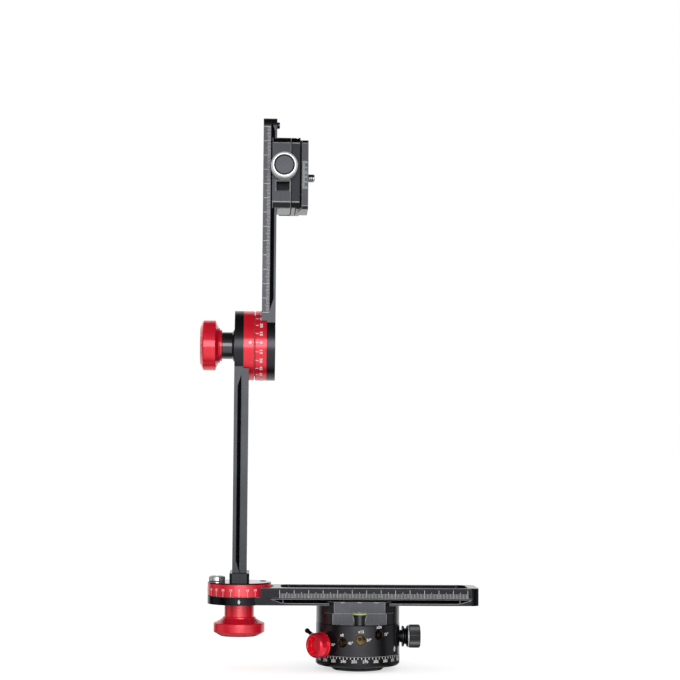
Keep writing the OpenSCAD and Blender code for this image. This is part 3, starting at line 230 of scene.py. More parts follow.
def sized_tree(name, counts, sizes):
    """A tree with named inputs for counts, sizes and a material, and the sockets of these inputs."""
    tree = bpy.data.node_groups.new(name, "GeometryNodeTree")
    for kind, labels in (("Int", counts), ("Float", sizes), ("Material", ["Material"])):
        for label in labels:
            tree.interface.new_socket(label, in_out="INPUT", socket_type="NodeSocket" + kind)
    tree.interface.new_socket("Geometry", in_out="OUTPUT", socket_type="NodeSocketGeometry")
    return tree, tree.nodes.new("NodeGroupInput").outputs


def ended(tree, given, mesh, **more):
    """Ends a tree: what it made becomes real, is set at its height Low and gets its material."""
    real = wired(tree, "GeometryNodeRealizeInstances", {0: mesh}).outputs[0]
    low = wired(tree, "ShaderNodeCombineXYZ", {"Z": given["Low"]}).outputs[0]
    moved = wired(tree, "GeometryNodeTransform", {"Geometry": real, "Translation": low, **more}).outputs[0]
    painted = wired(tree, "GeometryNodeSetMaterial", {"Geometry": moved, "Material": given["Material"]})
    wired(tree, "NodeGroupOutput", {0: painted.outputs[0]})
    return tree


def thread_tree():
    """A screw's ridge: a three-sided wire wound round the core."""
    tree, given = sized_tree("Winding", [], ["Core", "Crest", "Pitch", "Low", "High"])
    length = maths(tree, "SUBTRACT", given["High"], given["Low"])
    turns = maths(tree, "DIVIDE", length, given["Pitch"])
    spiral = wired(tree, "GeometryNodeCurveSpiral", {
        "Resolution": THREAD_FACETS, "Rotations": turns, "Height": length, "Start Radius": given["Core"],
        "End Radius": given["Core"]})
    upright = wired(tree, "GeometryNodeSetCurveNormal", {"Curve": spiral.outputs[0]}, mode="Z_UP")
    depth = maths(tree, "SUBTRACT", given["Crest"], given["Core"])
    ridge = wired(tree, "GeometryNodeCurvePrimitiveCircle", {"Resolution": 3, "Radius": depth})
    wire = wired(tree, "GeometryNodeCurveToMesh", {"Curve": upright.outputs[0],
                                                   "Profile Curve": ridge.outputs[0]})
    return ended(tree, given, wire.outputs[0])


def grown(name, body, slot, tree, place, **sizes):
    """A piece that a tree makes from its sizes. place carries it from the tree's axis to its own."""
    draft = in_scene(name + "_draft", bpy.data.meshes.new(name + "_draft"))
    modifier = draft.modifiers.new(tree.name, "NODES")
    modifier.node_group = tree
    for item in tree.interface.items_tree:
        if item.in_out == "INPUT":
            modifier[item.identifier] = sizes[item.name.replace(" ", "_")]
    mesh = settled(draft)
    mesh.transform(place)
    riding(name, mesh, body)


# The wall of the bush is the thread's root; its crests stand inwards.
winding = thread_tree()
grown("tripod_thread_crests", "base", "steel", winding, Matrix(), Core=THREAD_D / 2,
      Crest=THREAD_D / 2 + THREAD_CREST, Pitch=THREAD_PITCH, Low=THREAD_END, High=THREAD_H - THREAD_END,
      Material=bush_steel)

# ---- Degree ring, slip washers and stops ----
# A black anodised ring screwed to the foot carries the degree scale, engraved and filled with
# white paint. The brass stop ring, the washers and the retainer sit inside the drum.
DIAL_R, DIAL_TOP, MARK_INSET = 0.02925, 0.011, 0.0001
RING_STEP, RING_STEPS = 15, 24
DIAL_FRONT, DIAL_LEAD, DIAL_FIGURES_AT = 270, 7.5, 0.0080
WASHER_WHITE, PLASTIC = (0.74, 0.72, 0.66), 0.0

dial_black = turned_metal("dial black", BLACK, BASE_AT, ALONG_Z, 0.28, ANODISED)
stop_brass = turned_metal("stop ring brass", (0.13, 0.088, 0.034), BASE_AT, ALONG_Z, 0.2, BARE)
core_steel = turned_metal("retainer steel", STEEL, BASE_AT, ALONG_Z, 0.32, BARE)
slip_white = turned_metal("slip washer plastic", WASHER_WHITE, BASE_AT, ALONG_Z, 0.45, PLASTIC, 0.2)
rounded("dial_ring", "base", dial_black, 0.00025)
finish("detent_ring", stop_brass)
finish("slip_washers", slip_white)
finish("pan_retainer", core_steel)
rounded("pan_screw", "base", core_steel, 0.00015)


def even_finish(name, colour, patches, spread, roughness, coat=0.0, centre=(0, 0, 0)):
    """A smooth finish whose colour varies a little, in so many patches to the metre."""
    material, tree, shader = new_material(name)
    clouds = noise(tree, placed_coordinates(tree, centre), patches)
    tree.links.new(tinted(tree, clouds, colour, spread), shader.inputs["Base Color"])
    shader.inputs["Roughness"].default_value = roughness
    shader.inputs["Coat Weight"].default_value = coat
    return material


def engraving_paint(name, colour):
    """Matt enamel wiped into the engraving, a little uneven."""
    return even_finish(name, colour, patches=900, spread=0.06, roughness=0.55)


white_fill = engraving_paint("white enamel", (0.78, 0.78, 0.77))


def graduation_tree(name, ring):
    """Evenly spaced marks round a ring or along a rule, each a sliver of paint on the metal.

    Every so many marks one is long. A mark grows from its foot at Low along the piece's height."""
    spacing = "Radius" if ring else "Step"
    tree, given = sized_tree(name, ["Count", "Long every"],
                             [spacing, "Low", "Short", "Long", "Width", "Proud", "Turn"])
    if ring:
        points = wired(tree, "GeometryNodeMeshCircle", {"Vertices": given["Count"],
                                                        "Radius": given["Radius"]})
    else:
        step = wired(tree, "ShaderNodeCombineXYZ", {"X": given["Step"]})
        points = wired(tree, "GeometryNodeMeshLine", {"Count": given["Count"], "Offset": step.outputs[0]})
    number = tree.nodes.new("GeometryNodeInputIndex").outputs[0]
    is_long = maths(tree, "LESS_THAN", maths(tree, "MODULO", number, given["Long every"]), 0.5)
    lengths = {"Switch": is_long, "False": given["Short"], "True": given["Long"]}
    height = wired(tree, "GeometryNodeSwitch", lengths, input_type="FLOAT").outputs[0]
    out, along = ("X", "Y") if ring else ("Y", "X")
    size = wired(tree, "ShaderNodeCombineXYZ", {out: given["Proud"], along: given["Width"], "Z": 1})
    sliver = wired(tree, "GeometryNodeMeshCube", {"Size": size.outputs[0]}).outputs["Mesh"]
    foot = wired(tree, "GeometryNodeTransform", {"Geometry": sliver, "Translation": (0, 0, 0.5)})
    stretch = wired(tree, "ShaderNodeCombineXYZ", {"X": 1, "Y": 1, "Z": height})
    marks = wired(tree, "GeometryNodeInstanceOnPoints", {
        "Points": points.outputs["Mesh"], "Instance": foot.outputs[0], "Scale": stretch.outputs[0]})
    if ring:
        where = tree.nodes.new("GeometryNodeInputPosition").outputs[0]
        face = wired(tree, "FunctionNodeAlignRotationToVector", {"Vector": where}, axis="X", pivot_axis="Z")
        tree.links.new(face.outputs[0], marks.inputs["Rotation"])
    turn = wired(tree, "ShaderNodeCombineXYZ", {"Z": given["Turn"]})
    return ended(tree, given, marks.outputs[0], Rotation=turn.outputs[0])


ring_scale = graduation_tree("Scale round a ring", True)
FRESH, WORN_DOWN = 0.00008, 0.00006


def graduations(name, body, tree, place, **sizes):
    """Marks a piece with a scale. Every mark is long unless the sizes say otherwise."""
    usual = {"Long_every": 1, "Short": 0.0, "Low": 0.0, "Turn": 0.0, "Proud": FRESH, "Material": white_fill}
    grown(name, body, "black_engraved", tree, place, **{**usual, **sizes})


LETTER_DEPTH, LETTER_WEIGHT, ENAMEL_LIFT = 0.00002, 0.035, 0.00003


def lettering(words, size):
    """The mesh of a few figures, centred, lying flat."""
    curve = bpy.data.curves.new("figures", "FONT")
    curve.body = words
    curve.size = size
    curve.align_x, curve.align_y = "CENTER", "CENTER"
    curve.resolution_u = 3
    curve.extrude = LETTER_DEPTH
    curve.offset = LETTER_WEIGHT * size
    return settled(in_scene("figures", curve))


CREASE = math.radians(40)


def built(name, bm, place, material, body, smooth=False):
    """A piece from what was built, with its faces turned outwards, carried to its place."""
    bmesh.ops.recalc_face_normals(bm, faces=bm.faces)
    mesh = bpy.data.meshes.new(name)
    bm.to_mesh(mesh)
    bm.free()
    if smooth:
        mesh.shade_smooth()
        mesh.set_sharp_from_angle(angle=CREASE)
    mesh.transform(place)
    mesh.materials.append(material)
    return riding(name, mesh, body)


def wrapped_figures(name, body, figures, radius, size, width, place=Matrix()):
    """Figures bent round a ring. Each is (words, angle from the front in degrees, height)."""
    bm = bmesh.new()
    wall = radius + ENAMEL_LIFT
    for words, degrees, height in figures:
        mesh = lettering(words, size)
        for v in mesh.vertices:
            angle = math.radians(degrees) + v.co.x * width / wall
            out = wall + v.co.z
            v.co = (out * math.sin(angle), -out * math.cos(angle), height + v.co.y)
        bm.from_mesh(mesh)
    built(name, bm, place, white_fill, body)


graduations("dial_scale", "base", ring_scale, Matrix.Rotation(math.pi, 4, "X"), Turn=math.radians(-DIAL_LEAD),
            Count=3 * RING_STEPS, Long_every=3, Radius=DIAL_R, Low=MARK_INSET - DIAL_TOP, Short=0.0013,
            Long=0.0021, Width=0.00055)
dial_figures = [(str((DIAL_FRONT + RING_STEP * i) % 360), RING_STEP * i + DIAL_LEAD, DIAL_FIGURES_AT)
                for i in range(RING_STEPS)]
wrapped_figures("dial_figures", "base", dial_figures, DIAL_R, size=0.0025, width=1.05)

# ---- Drum ----
# The indexing drum, turned from black anodised bar and lightly blasted. Holes at four heights
# let the index plunger reach the rows of stops, and each is marked with its stops and step.
DRUM_R = 0.02925
STOP_FIGURES = [("x8", -24.7, 0.0259), ("45°", -12.5, 0.0205), ("x12", 1.5, 0.0284), ("30°", 12.3, 0.0227),
                ("x24", 27.1, 0.0312), ("15°", 38.9, 0.0261), ("x4", -50, 0.0242), ("90°", -38.5, 0.0188)]
INDEX_HALF, INDEX_TIP, INDEX_DEGREES, INDEX_HEIGHT = 0.0010, 0.0021, 57.5, 0.0155
PAINT_FACE, PAINT_BACK = 0.00005, -0.00003

drum_black = turned_metal("drum black", (0.0500, 0.0490, 0.0530), BASE_AT, ALONG_Z, 0.2, ANODISED, 0.35)
rounded("drum", "drum", drum_black, 0.0003)
finish("brake_shoe", stop_brass)
wrapped_figures("drum_figures", "drum", STOP_FIGURES, DRUM_R, size=0.0026, width=1.0)


def painted_plate(name, body, corners, place, paint=white_fill):
    """A small flat mark of paint, given by its outline, with its face towards +Z before placing."""
    bm = bmesh.new()
    front, back = [[bm.verts.new((x, y, z)) for x, y in corners] for z in (PAINT_FACE, PAINT_BACK)]
    bm.faces.new(front)
    bm.faces.new(back[::-1])
    for i, vertex in enumerate(front):
        bm.faces.new((front[i - 1], back[i - 1], back[i], vertex))
    built(name, bm, place, paint, body)


facing_front = Matrix.Rotation(math.pi / 2, 4, "X")


def on_wall(radius, degrees, height):
    """Carries a flat mark to a ring's wall, degrees round from the front."""
    round_to = Matrix.Rotation(math.radians(degrees), 4, "Z")
    return round_to @ Matrix.Translation((0, -radius, height)) @ facing_front


lozenge = [(0, -INDEX_TIP), (INDEX_HALF, -INDEX_HALF), (INDEX_HALF, INDEX_HALF), (0, INDEX_TIP),
           (-INDEX_HALF, INDEX_HALF), (-INDEX_HALF, -INDEX_HALF)]
painted_plate("drum_index_mark", "drum", lozenge, on_wall(DRUM_R, INDEX_DEGREES, INDEX_HEIGHT))

# ---- Pan lock ----
# A black screw with a flanged neck clamps the drum through its brake shoe. Its knob is turned,
# finely knurled and blackened, with a thin bright ring let in behind the knurl.
PAN_AT = (0, 0, 0.0228)
KNURL_BLACK = (0.0850, 0.0860, 0.0920)
lock_black = turned_metal("lock screw black", BLACK, PAN_AT, ALONG_X, 0.3, ANODISED)
lock_silver = turned_metal("lock ring silver", (0.80, 0.81, 0.82), PAN_AT, ALONG_X, 0.35, 0.3)
knurl_black = turned_metal("knurled black", KNURL_BLACK, PAN_AT, ALONG_X, 0.36, ANODISED)
rounded("pan_lock_screw", "pan_lock", lock_black, 0.0002)
rounded("pan_lock_ring", "pan_lock", lock_silver, 0.00012)
finish("pan_lock_knob", knurl_black)

# ---- Index plunger ----
# A sprung pin in a steel bush, pulled by a red dished knob. A small black lever on the bush
# locks it out. All are turned; the spring is wound from wire.
PLUNGER_AT, PLUNGER_LEAN = (0, 0, 0.0188), (math.pi / 2, 0, math.radians(-50))
RED = (0.95, 0.012, 0.038)
plunger_red = turned_metal("plunger red", RED, PLUNGER_AT, PLUNGER_LEAN, 0.22, 0.5, 0.3, 0.7)
plunger_steel = turned_metal("plunger steel", STEEL, PLUNGER_AT, PLUNGER_LEAN, 0.25, BARE)
lever_black = turned_metal("lever black", BLACK, PLUNGER_AT, PLUNGER_LEAN, 0.35, ANODISED)
finish("plunger_bush", plunger_steel)
finish("plunger_spring", plunger_steel)
finish("plunger_pin", plunger_steel)
rounded("plunger_knob", "plunger", plunger_red, 0.00025)
finish("plunger_lever", lever_black)

# ---- Rail clamp ----
# The clamp's body is milled from bar, black anodised, and bolted to the drum. Its rear jaw is
# drawn in by a screw with a knurled knob. A bull's-eye level sits on the front ledge.
CLAMP_SCREW_AT = (0, 0, 0.0389)
LEVEL_AT, LEVEL_R, LEVEL_H = (0, -0.0233, 0.0402), 0.0053, 0.0011
LEDGE_FRONT, JAW_MARK_HEIGHT, JAW_MARKS = -0.02235, 0.0476, (-0.0115, 0.0, 0.0115)
JAW_MARK_HALF, JAW_MARK_LINE = 0.0014, 0.00014
STREAK_LENGTH, STREAK_DEPTH, MILL_PLAY = 40, 0.000004, 0.03


def milled_metal(name, colour, along, roughness, metallic, streak=0.5):
    """Metal off the mill or the draw bench: faint straight streaks run one way over fine grain."""
    material, tree, shader = new_material(name)
    drawn_out = placed_coordinates(tree, scale=[STREAK_LENGTH if axis == along else 1 for axis in "xyz"])
    place = placed_coordinates(tree)
    streaks = noise(tree, drawn_out, scale=4200, detail=3, roughness=0.55)
    clouds = noise(tree, place, scale=45, detail=3)
    grain = noise(tree, place, scale=7000)
    tree.links.new(tinted(tree, clouds, colour, spread=0.1), shader.inputs["Base Color"])
    sheen = remap(tree, streaks, roughness - MILL_PLAY, roughness + MILL_PLAY)
    tree.links.new(sheen, shader.inputs["Roughness"])
    shader.inputs["Metallic"].default_value = metallic
    bumped(tree, shader, [(streaks, streak, STREAK_DEPTH), (grain, 0.3, GRAIN_DEPTH)])
    return material


clamp_black = milled_metal("clamp black", (0.0610, 0.0620, 0.0700), "x", 0.25, ANODISED)
clamp_steel = turned_metal("clamp screw steel", STEEL, CLAMP_SCREW_AT, ALONG_Y, 0.3, BARE)
clamp_knurl = turned_metal("clamp knob black", KNURL_BLACK, CLAMP_SCREW_AT, ALONG_Y, 0.42, ANODISED)
bolt_steel = milled_metal("bolt steel", STEEL, "z", 0.3, BARE)
# A pale grey painted on the broken edges: a painted highlight, the light that the edges catch.
edge_highlight_paint = milled_metal("painted edge highlight", (0.30, 0.30, 0.31), "x", 0.45, 0.3)
rounded("clamp_body", "drum", clamp_black, 0.00018, edge_highlight_paint)
rounded("clamp_jaw", "clamp_jaw", clamp_black, 0.00018, edge_highlight_paint)
finish("clamp_bolts", bolt_steel)
finish("clamp_screw", clamp_steel)
finish("clamp_knob", clamp_knurl)


def turned_form(name, profile, place, material, body, steps=64):
    """A small form turned round its own Z from (radius, height) points.

    The points run from axis to axis, or once round an outline and back to its first point."""
    bm = bmesh.new()
    turns = [2 * math.pi * i / steps for i in range(steps)]
    loops = [[bm.verts.new((r * math.cos(turn), r * math.sin(turn), z)) for turn in turns]
             for r, z in profile]
    for low, high in zip(loops, loops[1:]):
        for i in range(steps):
            bm.faces.new((low[i - 1], low[i], high[i], high[i - 1]))
    bmesh.ops.remove_doubles(bm, verts=bm.verts, dist=MERGED)
    return built(name, bm, place, material, body, smooth=True)


CLEAR_COAT, RING_HALF, RING_PROUD = 1.0, 0.0001, 0.00006


def bulls_eye(name, body, node, centre, radius, height):
    """A bull's-eye level: green spirit with a bubble under a clear cap with a black ring."""
    spirit = even_finish(name + " spirit", (0.50, 0.66, 0.22), 200, 0.08, 0.12, CLEAR_COAT, centre)
    bubble_skin = even_finish(name + " bubble", (0.80, 0.92, 0.62), 500, 0.05, 0.06, CLEAR_COAT, centre)
    ring_paint = engraving_paint(name + " ring", (0.02, 0.02, 0.02))
    top, bubble = height / 2, radius * 0.36
    filling = [(0, -top), (radius, -top), (radius, top * 0.5), (radius * 0.92, top * 0.8),
               (radius * 0.5, top), (0, top * 1.02)]
    dome = [(0, top), (bubble, top), (bubble * 0.98, top + 0.00008), (bubble * 0.8, top + 0.0002),
            (0, top + 0.00027)]
    inner, outer = radius * 0.5 - RING_HALF, radius * 0.5 + RING_HALF
    low, high = top * 0.98, top + RING_PROUD
    ring = [(inner, low), (outer, low), (outer, high), (inner, high), (inner, low)]
    at_level = Matrix.Translation(centre)
    fluid = turned_form(name + "_spirit", filling, at_level, spirit, body)
    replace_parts(fluid, node)
    turned_form(name + "_bubble", dome, at_level, bubble_skin, body)
    turned_form(name + "_mark", ring, at_level, ring_paint, body)


def oblong(left, right, low, high):
    return [(left, low), (right, low), (right, high), (left, high)]


bulls_eye("clamp_bulls_eye", "drum", "clamp_level", LEVEL_AT, LEVEL_R, LEVEL_H)
for number, across in enumerate(JAW_MARKS):
    painted_plate(f"jaw_mark_{number}", "drum",
                  oblong(-JAW_MARK_HALF, JAW_MARK_HALF, -JAW_MARK_LINE, JAW_MARK_LINE),
                  Matrix.Translation((across, LEDGE_FRONT, JAW_MARK_HEIGHT)) @ facing_front)

# ---- Lower rail ----
# A dovetail rail milled from drawn bar, with a trough along its top and a round seat at one end
# for the turntable. Its front edge is engraved as a 130 mm rule, with every tenth mark white.
RAIL_FRONT, RULE_FROM, RULE_FOOT = -0.019, -0.055, 0.05025
SWIVEL_AT, SEAT_R, SEAT_MARK_HEIGHT = (-0.0828, 0, 0), 0.0222, 0.0476
BRASS = (0.62, 0.40, 0.13)

rail_black = milled_metal("rail black", (0.0180, 0.0185, 0.0220), "x", 0.18, ANODISED, 0.4)
rounded("rail", "rail", rail_black, 0.00022, edge_highlight_paint)
rule_scale = graduation_tree("Scale along a rule", False)
grey_fill = engraving_paint("worn grey enamel", (0.52, 0.51, 0.53))


def rule(name, body, place, short, middle, full, width):
    """A 130 mm rule: worn marks each millimetre, longer each fifth, and white ones each tenth."""
    graduations(name, body, rule_scale, place, Count=131, Step=0.001, Long_every=5, Short=short, Long=middle,
                Width=width, Proud=WORN_DOWN, Material=grey_fill)
    graduations(name + "_tens", body, rule_scale, place, Count=14, Step=0.01, Long=full, Width=0.00026)


def diamond(half_width, half_height):
    return [(0, -half_height), (half_width, 0), (0, half_height), (-half_width, 0)]


at_rule = Matrix.Translation((RULE_FROM, RAIL_FRONT, RULE_FOOT))
rule("rail_rule", "rail", at_rule, short=0.0032, middle=0.0042, full=0.0057, width=0.00034)
at_swivel = Matrix.Translation(SWIVEL_AT)
painted_plate("rail_index_diamond", "rail", diamond(0.0010, 0.0019),
              at_swivel @ on_wall(SEAT_R, 0, SEAT_MARK_HEIGHT))
swivel_brass = turned_metal("swivel bush brass", BRASS, SWIVEL_AT, ALONG_Z, 0.28, BARE)
swivel_plastic = turned_metal("swivel slip plastic", WASHER_WHITE, SWIVEL_AT, ALONG_Z, 0.45, PLASTIC, 0.2)
swivel_silver = turned_metal("swivel washer silver", (0.7, 0.71, 0.73), SWIVEL_AT, ALONG_Z, 0.24, BARE)
finish("swivel_bush", swivel_brass)
finish("swivel_slip_ring", swivel_plastic)
rounded("swivel_washer", "rail", swivel_silver, 0.00015)

# ---- Swivel lock ----
# A large red knob under the rail, turned in one piece with its neck and blasted before it was
# anodised. It pulls the turntable's shaft down on its seat.
swivel_red = turned_metal("swivel red", RED, SWIVEL_AT, ALONG_Z, 0.24, 0.2, 0.25, 1.0)
rounded("swivel_knob", "swivel_lock", swivel_red, 0.0003)

# ---- Turntable ----
# A red anodised degree ring with white marks every 15 degrees, closed by a thin polished black
# plate. The steel shaft's flange and a small black screw are let into the plate.
SWIVEL_RING_LOW, SWIVEL_FIGURES_UP = 0.0510, 0.0045
turntable_black = turned_metal("turntable black", BLACK, SWIVEL_AT, ALONG_Z, 0.06, ANODISED, 0.02)
shaft_steel = turned_metal("swivel shaft steel", STEEL, SWIVEL_AT, ALONG_Z, 0.28, BARE)
screw_black = milled_metal("blackened screw", BLACK, "z", 0.32, ANODISED)
rounded("swivel_dial", "arm", swivel_red, 0.00025)
rounded("turntable_plate", "arm", turntable_black, 0.0002)
rounded("turntable_screw", "arm", screw_black, 0.00012)
finish("swivel_shaft", shaft_steel)


def both_ways(height):
    """Figures every 15 degrees that count up to 180 and down again."""
    return [(str(RING_STEP * min(i, RING_STEPS - i)), RING_STEP * i, height) for i in range(RING_STEPS)]


graduations("swivel_scale", "arm", ring_scale, at_swivel, Turn=math.radians(-90), Count=RING_STEPS,
            Radius=SEAT_R, Low=SWIVEL_RING_LOW + MARK_INSET, Long=0.0036, Width=0.00026)
swivel_figures = both_ways(SWIVEL_RING_LOW + SWIVEL_FIGURES_UP)
wrapped_figures("swivel_figures", "arm", swivel_figures, SEAT_R, 0.0020, 1.1, at_swivel)

# ---- Lower arm ----
# A milled block bolted to the turntable carries the grooved arm, drawn bar with a round seat at
# its top. A chromed cup with a bull's-eye level is pressed into the turntable's rim.
CUP_AT = (-0.0986, 0.004, 0)
arm_black = milled_metal("arm black", (0.0330, 0.0340, 0.0380), "z", 0.26, ANODISED, 0.7)
block_black = milled_metal("block black", (0.0230, 0.0235, 0.0270), "x", 0.26, ANODISED)
rounded("arm_block", "arm", block_black, 0.0007)
rounded("lower_arm", "arm", arm_black, 0.00022)
finish("arm_bolts", bolt_steel)


def chromed(name, centre):
    """Bright chromium over polished brass."""
    material, tree, shader = new_material(name)
    place = placed_coordinates(tree, centre)
    colour = tinted(tree, noise(tree, place, 300), (0.86, 0.87, 0.88), spread=0.03)
    tree.links.new(colour, shader.inputs["Base Color"])
    tree.links.new(remap(tree, noise(tree, place, 900), 0.10, 0.16), shader.inputs["Roughness"])
    shader.inputs["Metallic"].default_value = 0.7
    return material


rounded("arm_level_cup", "arm", chromed("chrome", CUP_AT), 0.0002)
vial_low, vial_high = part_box("arm_level_vial")
vial_size = vial_high - vial_low
bulls_eye("arm_bulls_eye", "arm", "arm_level_vial", vial_low + vial_size / 2, vial_size.x / 2, vial_size.z)

# ---- Tilt joint ----
# Two red rings turn on each other at the arm's top: the fixed one with a white diamond, the
# moving one with marks every 15 degrees. A red knob on a black spacer locks them.
TILT_AT, TILT_R, TILT_ZERO = (0, 0, 0.2249), 0.0244, math.radians(2.3)
TILT_DIAMOND_X, TILT_SCALE_X, TILT_FIGURES_X = -0.0769, -0.0731, -0.0694
tilt_red = turned_metal("tilt red", RED, TILT_AT, ALONG_X, 0.17, 0.3, 0.2, 0.8)
spacer_black = turned_metal("spacer black", KNURL_BLACK, TILT_AT, ALONG_X, 0.16, ANODISED, 0.15)
tilt_steel = turned_metal("tilt shaft steel", STEEL, TILT_AT, ALONG_X, 0.28, BARE)
tilt_brass = turned_metal("tilt bush brass", BRASS, TILT_AT, ALONG_X, 0.28, BARE)
tilt_plastic = turned_metal("tilt slip plastic", WASHER_WHITE, TILT_AT, ALONG_X, 0.45, PLASTIC, 0.2)
cross_screw_black = milled_metal("blackened ring screw", BLACK, "x", 0.32, ANODISED)
rounded("tilt_index_ring", "arm", tilt_red, 0.00025)
finish("tilt_ring_screws", cross_screw_black)
finish("tilt_bush", tilt_brass)
rounded("tilt_spacer", "arm", spacer_black, 0.0002)
rounded("tilt_knob", "tilt_lock", tilt_red, 0.0003)
rounded("tilt_dial", "upper_rail", tilt_red, 0.00025)
finish("tilt_dial_screws", cross_screw_black)
finish("tilt_shaft", tilt_steel)
finish("tilt_slip_ring", tilt_plastic)
at_tilt = Matrix.Translation(TILT_AT) @ Matrix.Rotation(-TILT_ZERO, 4, "X")
painted_plate("tilt_index_diamond", "arm", diamond(0.0013, 0.0013),
              at_tilt @ Matrix.Translation((TILT_DIAMOND_X, -TILT_R, 0)) @ facing_front)
at_tilt_scale = at_tilt @ Matrix.Rotation(math.pi / 2, 4, "Y")
graduations("tilt_scale", "upper_rail", ring_scale, at_tilt_scale, Turn=math.radians(-90), Count=RING_STEPS,
            Radius=TILT_R, Low=TILT_SCALE_X, Long=0.0020, Width=0.0005)
wrapped_figures("tilt_figures", "upper_rail", both_ways(TILT_FIGURES_X), TILT_R, 0.0026, 1.4, at_tilt_scale)

# ---- Upper rail ----
# The same drawn section, thinner, with a round seat below and a stop screw near its top end.
# Its edge carries a second 130 mm rule.
UPPER_GROOVE_X, UPPER_RULE_FROM = -0.0641, 0.2472
upper_black = milled_metal("upper rail black", (0.0380, 0.0390, 0.0450), "z", 0.26, ANODISED, 0.7)
rounded("upper_rail", "upper_rail", upper_black, 0.00022)
at_upper_rule = (Matrix.Translation((UPPER_GROOVE_X, RAIL_FRONT, UPPER_RULE_FROM))
                 @ Matrix.Rotation(-math.pi / 2, 4, "Y"))
rule("upper_rule", "upper_rail", at_upper_rule, short=0.0021, middle=0.0028, full=0.0045, width=0.00032)
rounded("stop_screw", "upper_rail", cross_screw_black, 0.00015)

# ---- Carriage and camera clamp ----
# Two milled bodies bolted back to back. Each has a jaw drawn in by its own screw. The carriage
# knob is bright turned aluminium with a dark cap, and a black ring laid in the groove round the cap
# is painted shade for that groove. The one behind is knurled.
CARRIAGE_AT, CAMERA_AT = (-0.0546, 0, 0.3481), (-0.0536, 0, 0.3481)
CAP_RING_R, CAP_RING_SET, CAP_RING_SIDES = 0.0003, 0.0003, 16
carriage_black = milled_metal("carriage black", (0.0275, 0.0285, 0.0330), "z", 0.26, ANODISED)
camera_black = milled_metal("camera clamp black", (0.0105, 0.0110, 0.0135), "z", 0.26, ANODISED)
carriage_steel = turned_metal("carriage screw steel", STEEL, CARRIAGE_AT, ALONG_Y, 0.3, BARE)
carriage_silver = turned_metal("carriage knob silver", (0.95, 0.95, 0.96), CARRIAGE_AT, ALONG_Y, 0.32, 0.4,
                               groove=0.3)
cap_grey = turned_metal("knob cap grey", (0.047, 0.0495, 0.055), CARRIAGE_AT, ALONG_Y, 0.32, ANODISED, 0.6)
camera_knurl = turned_metal("camera knob black", KNURL_BLACK, CAMERA_AT, ALONG_Y, 0.42, ANODISED)
joint_steel = milled_metal("joint bolt steel", STEEL, "x", 0.3, BARE)
# Black painted on the camera clamp body's broken edges that turn towards x: painted shade, the dark line of
# the joint between the two bodies.
seam_shade_black = milled_metal("painted seam shade", (0.003, 0.003, 0.0035), "z", 0.6, PLASTIC)
groove_shade_ring = milled_metal("ring rubber", (0.004, 0.004, 0.0045), "x", 0.55, PLASTIC, 0.2)
rounded("carriage_body", "carriage", carriage_black, 0.0005, edge_highlight_paint)
rounded("camera_clamp_body", "carriage", camera_black, 0.0005, edge_highlight_paint, seam_shade_black)
finish("carriage_bolts", joint_steel)
rounded("carriage_jaw", "carriage_jaw", carriage_black, 0.0004, edge_highlight_paint)
finish("carriage_screw", carriage_steel)
rounded("carriage_knob", "carriage_knob", carriage_silver, 0.00025)
rounded("knob_cap", "carriage_knob", cap_grey, 0.0004)
cap_low, cap_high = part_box("knob_cap")
at_cap_ring = Matrix.Translation((CARRIAGE_AT[0], cap_low.y + CAP_RING_SET, CARRIAGE_AT[2])) @ facing_front
ring_middle = (cap_high.x - cap_low.x) / 2 + CAP_RING_R
ring_outline = [(ring_middle + CAP_RING_R * math.cos(2 * math.pi * i / CAP_RING_SIDES),
                 CAP_RING_R * math.sin(2 * math.pi * i / CAP_RING_SIDES)) for i in range(CAP_RING_SIDES + 1)]
# A black ring laid in the groove round the cap: painted shade, standing for the groove's shadow.
turned_form("cap_ring", ring_outline, at_cap_ring, groove_shade_ring, "carriage_knob", steps=72)
rounded("camera_jaw", "camera_jaw", camera_black, 0.0002)
finish("camera_knob", camera_knurl)

# ---- Camera plate ----
# A slotted dovetail plate with a pale scale panel printed on its front edge, and the captive
# camera screw, which has its thread only beyond a thinner neck.
PLATE_MID, PLATE_TOP_X = 0.3440, -0.0376
PANEL_X, PANEL_MID, PANEL_FIGURES_X, PANEL_STEP = -0.0400, 0.3436, -0.0392, 0.00345
PANEL_WORDS = ("20", "10", "0", "10", "20")
SCREW_R, NECK_R, NECK_RISE, SCREW_PITCH = 0.003175, 0.002575, 0.0003, 0.00127
HEAD_R, HEAD_H, HEAD_EASED, TIP_EASED = 0.0053, 0.003, 0.0002, 0.0003
RIDGE_FOOT, RIDGE_CREST, RIDGE_FROM, RIDGE_SHORT = 0.00055, 0.0001, 0.0005, 0.0007
plate_black = milled_metal("plate black", (0.0310, 0.0320, 0.0360), "z", 0.28, ANODISED, 0.6)
plate_steel = turned_metal("camera screw steel", STEEL, (0, 0, PLATE_MID), ALONG_X, 0.26, BARE)
rounded("camera_plate", "camera_plate", plate_black, 0.0003, edge_highlight_paint)
plate_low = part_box("camera_plate")[0]
panel_grey = engraving_paint("panel grey", (0.30, 0.31, 0.33))
painted_plate("plate_panel", "camera_plate", oblong(left=-0.0019, right=0.0017, low=-0.0098, high=0.0098),
              Matrix.Translation((PANEL_X, plate_low.y, PANEL_MID)) @ facing_front, panel_grey)
dark_fill = engraving_paint("black enamel", (0.02, 0.02, 0.022))
figures_at = (Matrix.Translation((PANEL_FIGURES_X, plate_low.y - 2 * ENAMEL_LIFT, PANEL_MID))
              @ Matrix.Rotation(-math.pi / 2, 4, "Y") @ facing_front)
for number, words in enumerate(PANEL_WORDS):
    mesh = lettering(words, size=0.0024)
    mesh.transform(figures_at @ Matrix.Translation((PANEL_STEP * (number - len(PANEL_WORDS) // 2), 0, 0)))
    mesh.materials.append(dark_fill)
    riding(f"plate_figure_{number}", mesh, "camera_plate")

